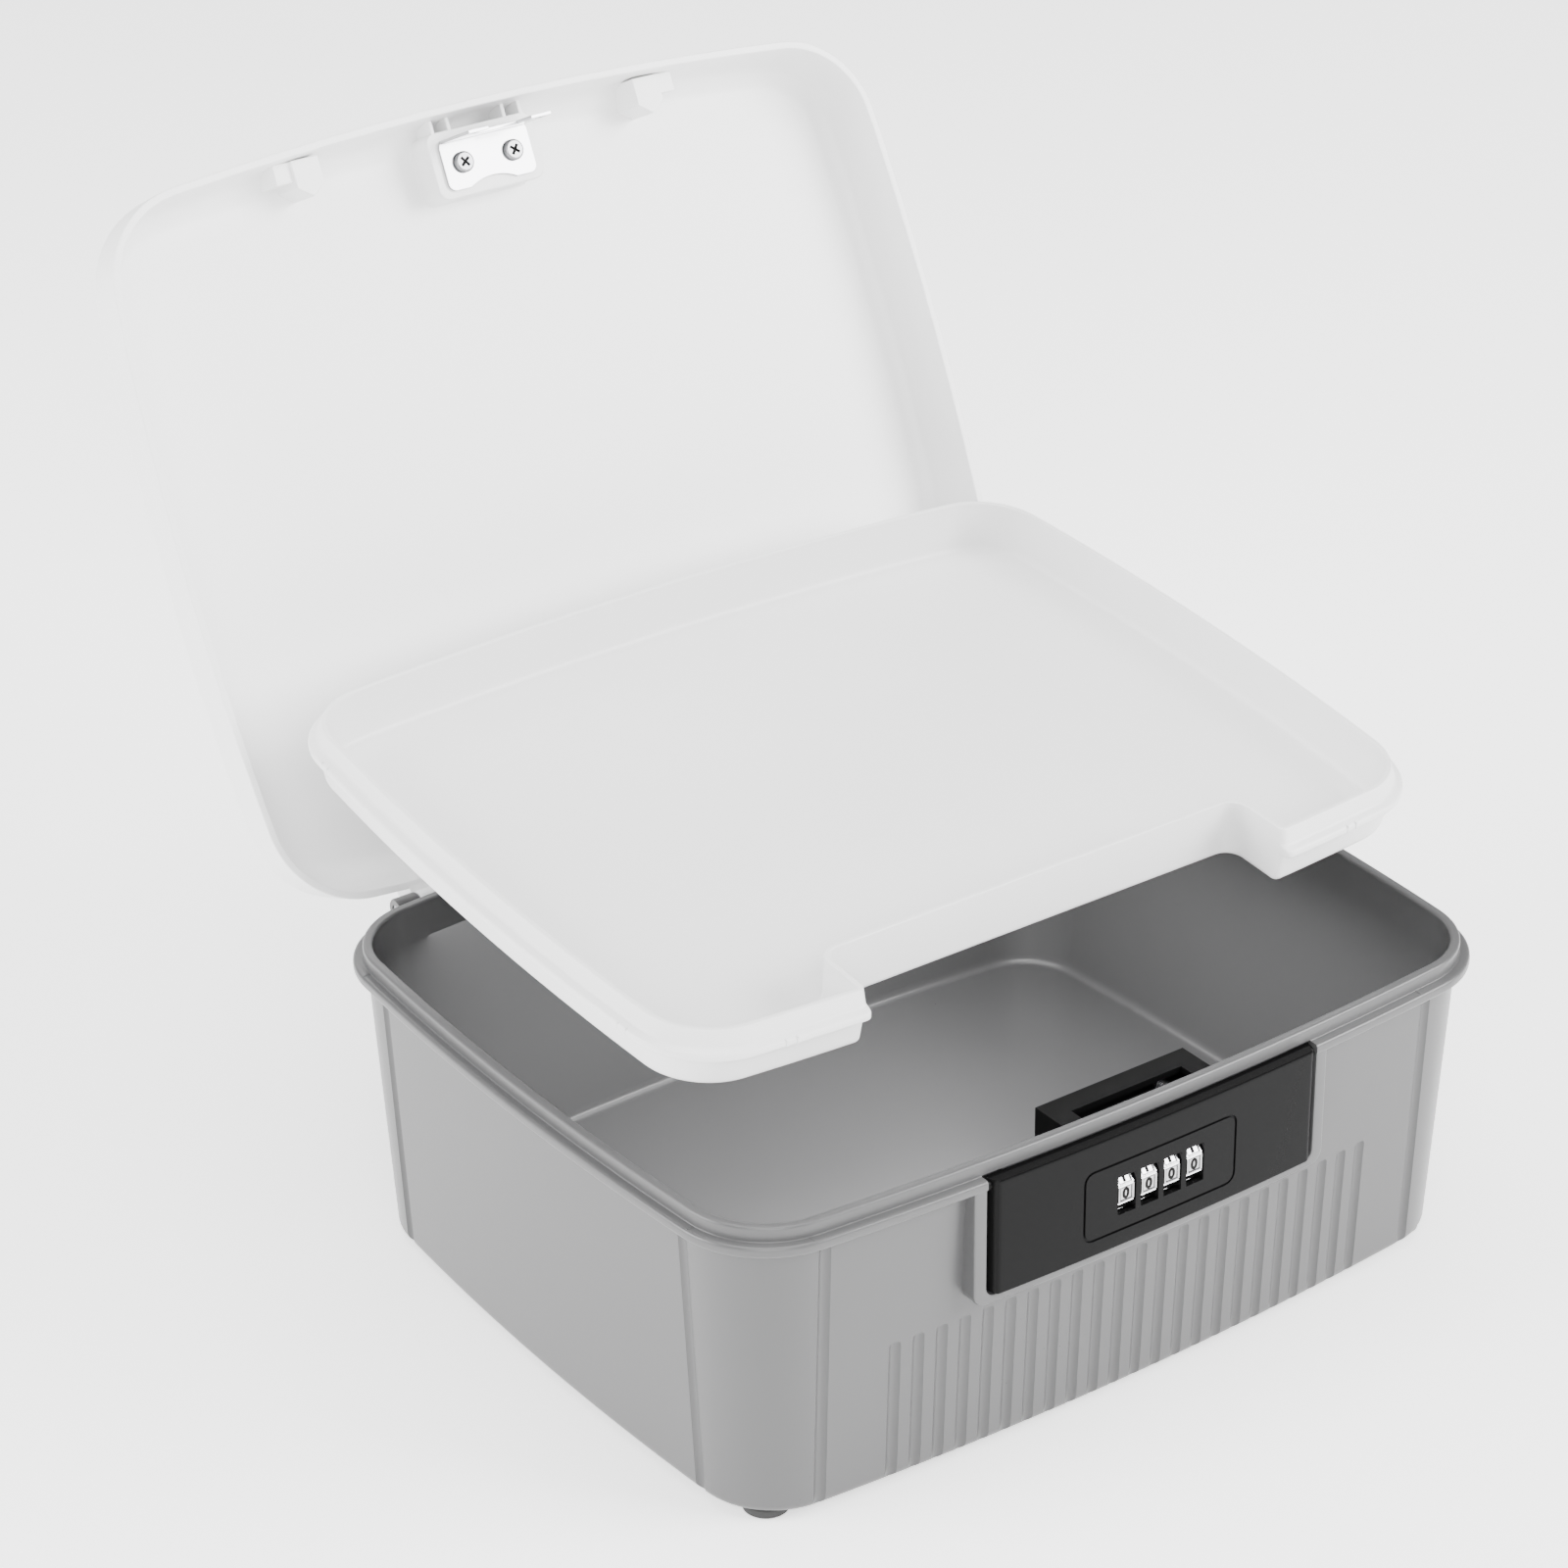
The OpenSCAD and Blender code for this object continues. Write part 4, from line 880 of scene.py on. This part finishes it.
make_tub()
make_lid()
make_tray()
make_panel()
make_wheels()
make_feet()
fit(copy_of("lock_housing", "housing_moulding", 0.35), "tub", LOCK_BLACK, ["lock_housing"])
fit(copy_of("catch_slider", "catch_moulding", 0.25), "catch", LOCK_BLACK, ["catch_slider"])
fit(copy_of("wheel_cradle", "cradle_moulding", 0.2), "panel", LOCK_BLACK, ["wheel_cradle"])
fit(copy_of("reset_slider", "reset_moulding", 0.25), "reset", LOCK_BLACK, ["reset_slider"])
fit(copy_of("strike_plate", "strike_pressing", 0.2), "lid", CHROME, ["strike_plate"])
screw_set("strike_screw_pair", "strike_screws", "lid",
          [(x, STRIKE_Y, BOSS_Z - 1.2, math.radians(turn)) for x, turn in ((-STRIKE_X, 38), (STRIKE_X, 52))],
          (0, 0, -1), head=3.9, height=1.9, shank=1.6, length=7.9)
screw_set("housing_screw_set", "housing_screws", "tub",
          [(x, -117.6, z, math.copysign(0.3, x) + z) for x, z in HOUSING_SCREWS],
          (0, 1, 0), head=2.6, height=1.6, shank=1.2, length=6.9)
make_spring("catch_coil_left", -20, "catch_spring_left")
make_spring("catch_coil_right", 20, "catch_spring_right")

# pieces shown with the solids' own shapes
for node_name in ("hinge_pin_left", "hinge_pin_right", "panel_pin_left", "panel_pin_right",
                  "cradle_screws", "wheel_axle", "detent_spring"):
    give(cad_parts[node_name], STEEL)
for sleeve in range(1, 5):
    give(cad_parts["code_sleeve_%d" % sleeve], LOCK_BLACK)


# ---------------------------------------------------------------- floor and light
def make_floor():
    """A wide pale floor just below the feet, with a faint glow of its own."""
    clear()
    bpy.ops.mesh.primitive_plane_add(size=40, location=(0, 0, -0.0002))
    floor = bpy.context.object
    floor.name = "floor"
    f = Finish("pale_floor")
    f.set(Base_Color=f.mix(f.noise(3.0), (0.90, 0.90, 0.90), (0.94, 0.94, 0.94)), Roughness=0.9,
          Emission_Color=(1, 1, 1, 1), Emission_Strength=1.2)
    give(floor, f.material)


def lamp(name, spot, size, power, aim=(0, 0, 0.12)):
    """A square lamp at spot, turned towards aim; size is its side in metres, power is in watts."""
    data = bpy.data.lights.new(name, "AREA")
    data.shape, data.size, data.energy = "SQUARE", size, power
    light = bpy.data.objects.new(name, data)
    bpy.context.scene.collection.objects.link(light)
    spot, aim = Vector(spot), Vector(aim)
    light.matrix_world = Matrix.Translation(spot) @ (aim - spot).to_track_quat("-Z", "Y").to_matrix().to_4x4()


make_floor()
world = bpy.data.worlds.new("studio")
bpy.context.scene.world = world
world.use_nodes = True
sky = world.node_tree.nodes["Background"].inputs
sky["Color"].default_value = (1, 1, 1, 1)
sky["Strength"].default_value = 0.5
lamp("top", (0.0, 0.0, 3.1), 2.4, 100)
lamp("left", (-2.55, 1.05, 1.3), 1.8, 145)
lamp("front", (-1.5, -2.1, 1.6), 1.6, 70)
lamp("right", (1.8, -1.86, 1.6), 1.8, 185)
lamp("inside", (0.0, 0.004, 0.1032), 0.24, 0.80, aim=(0, 0.004, 0))
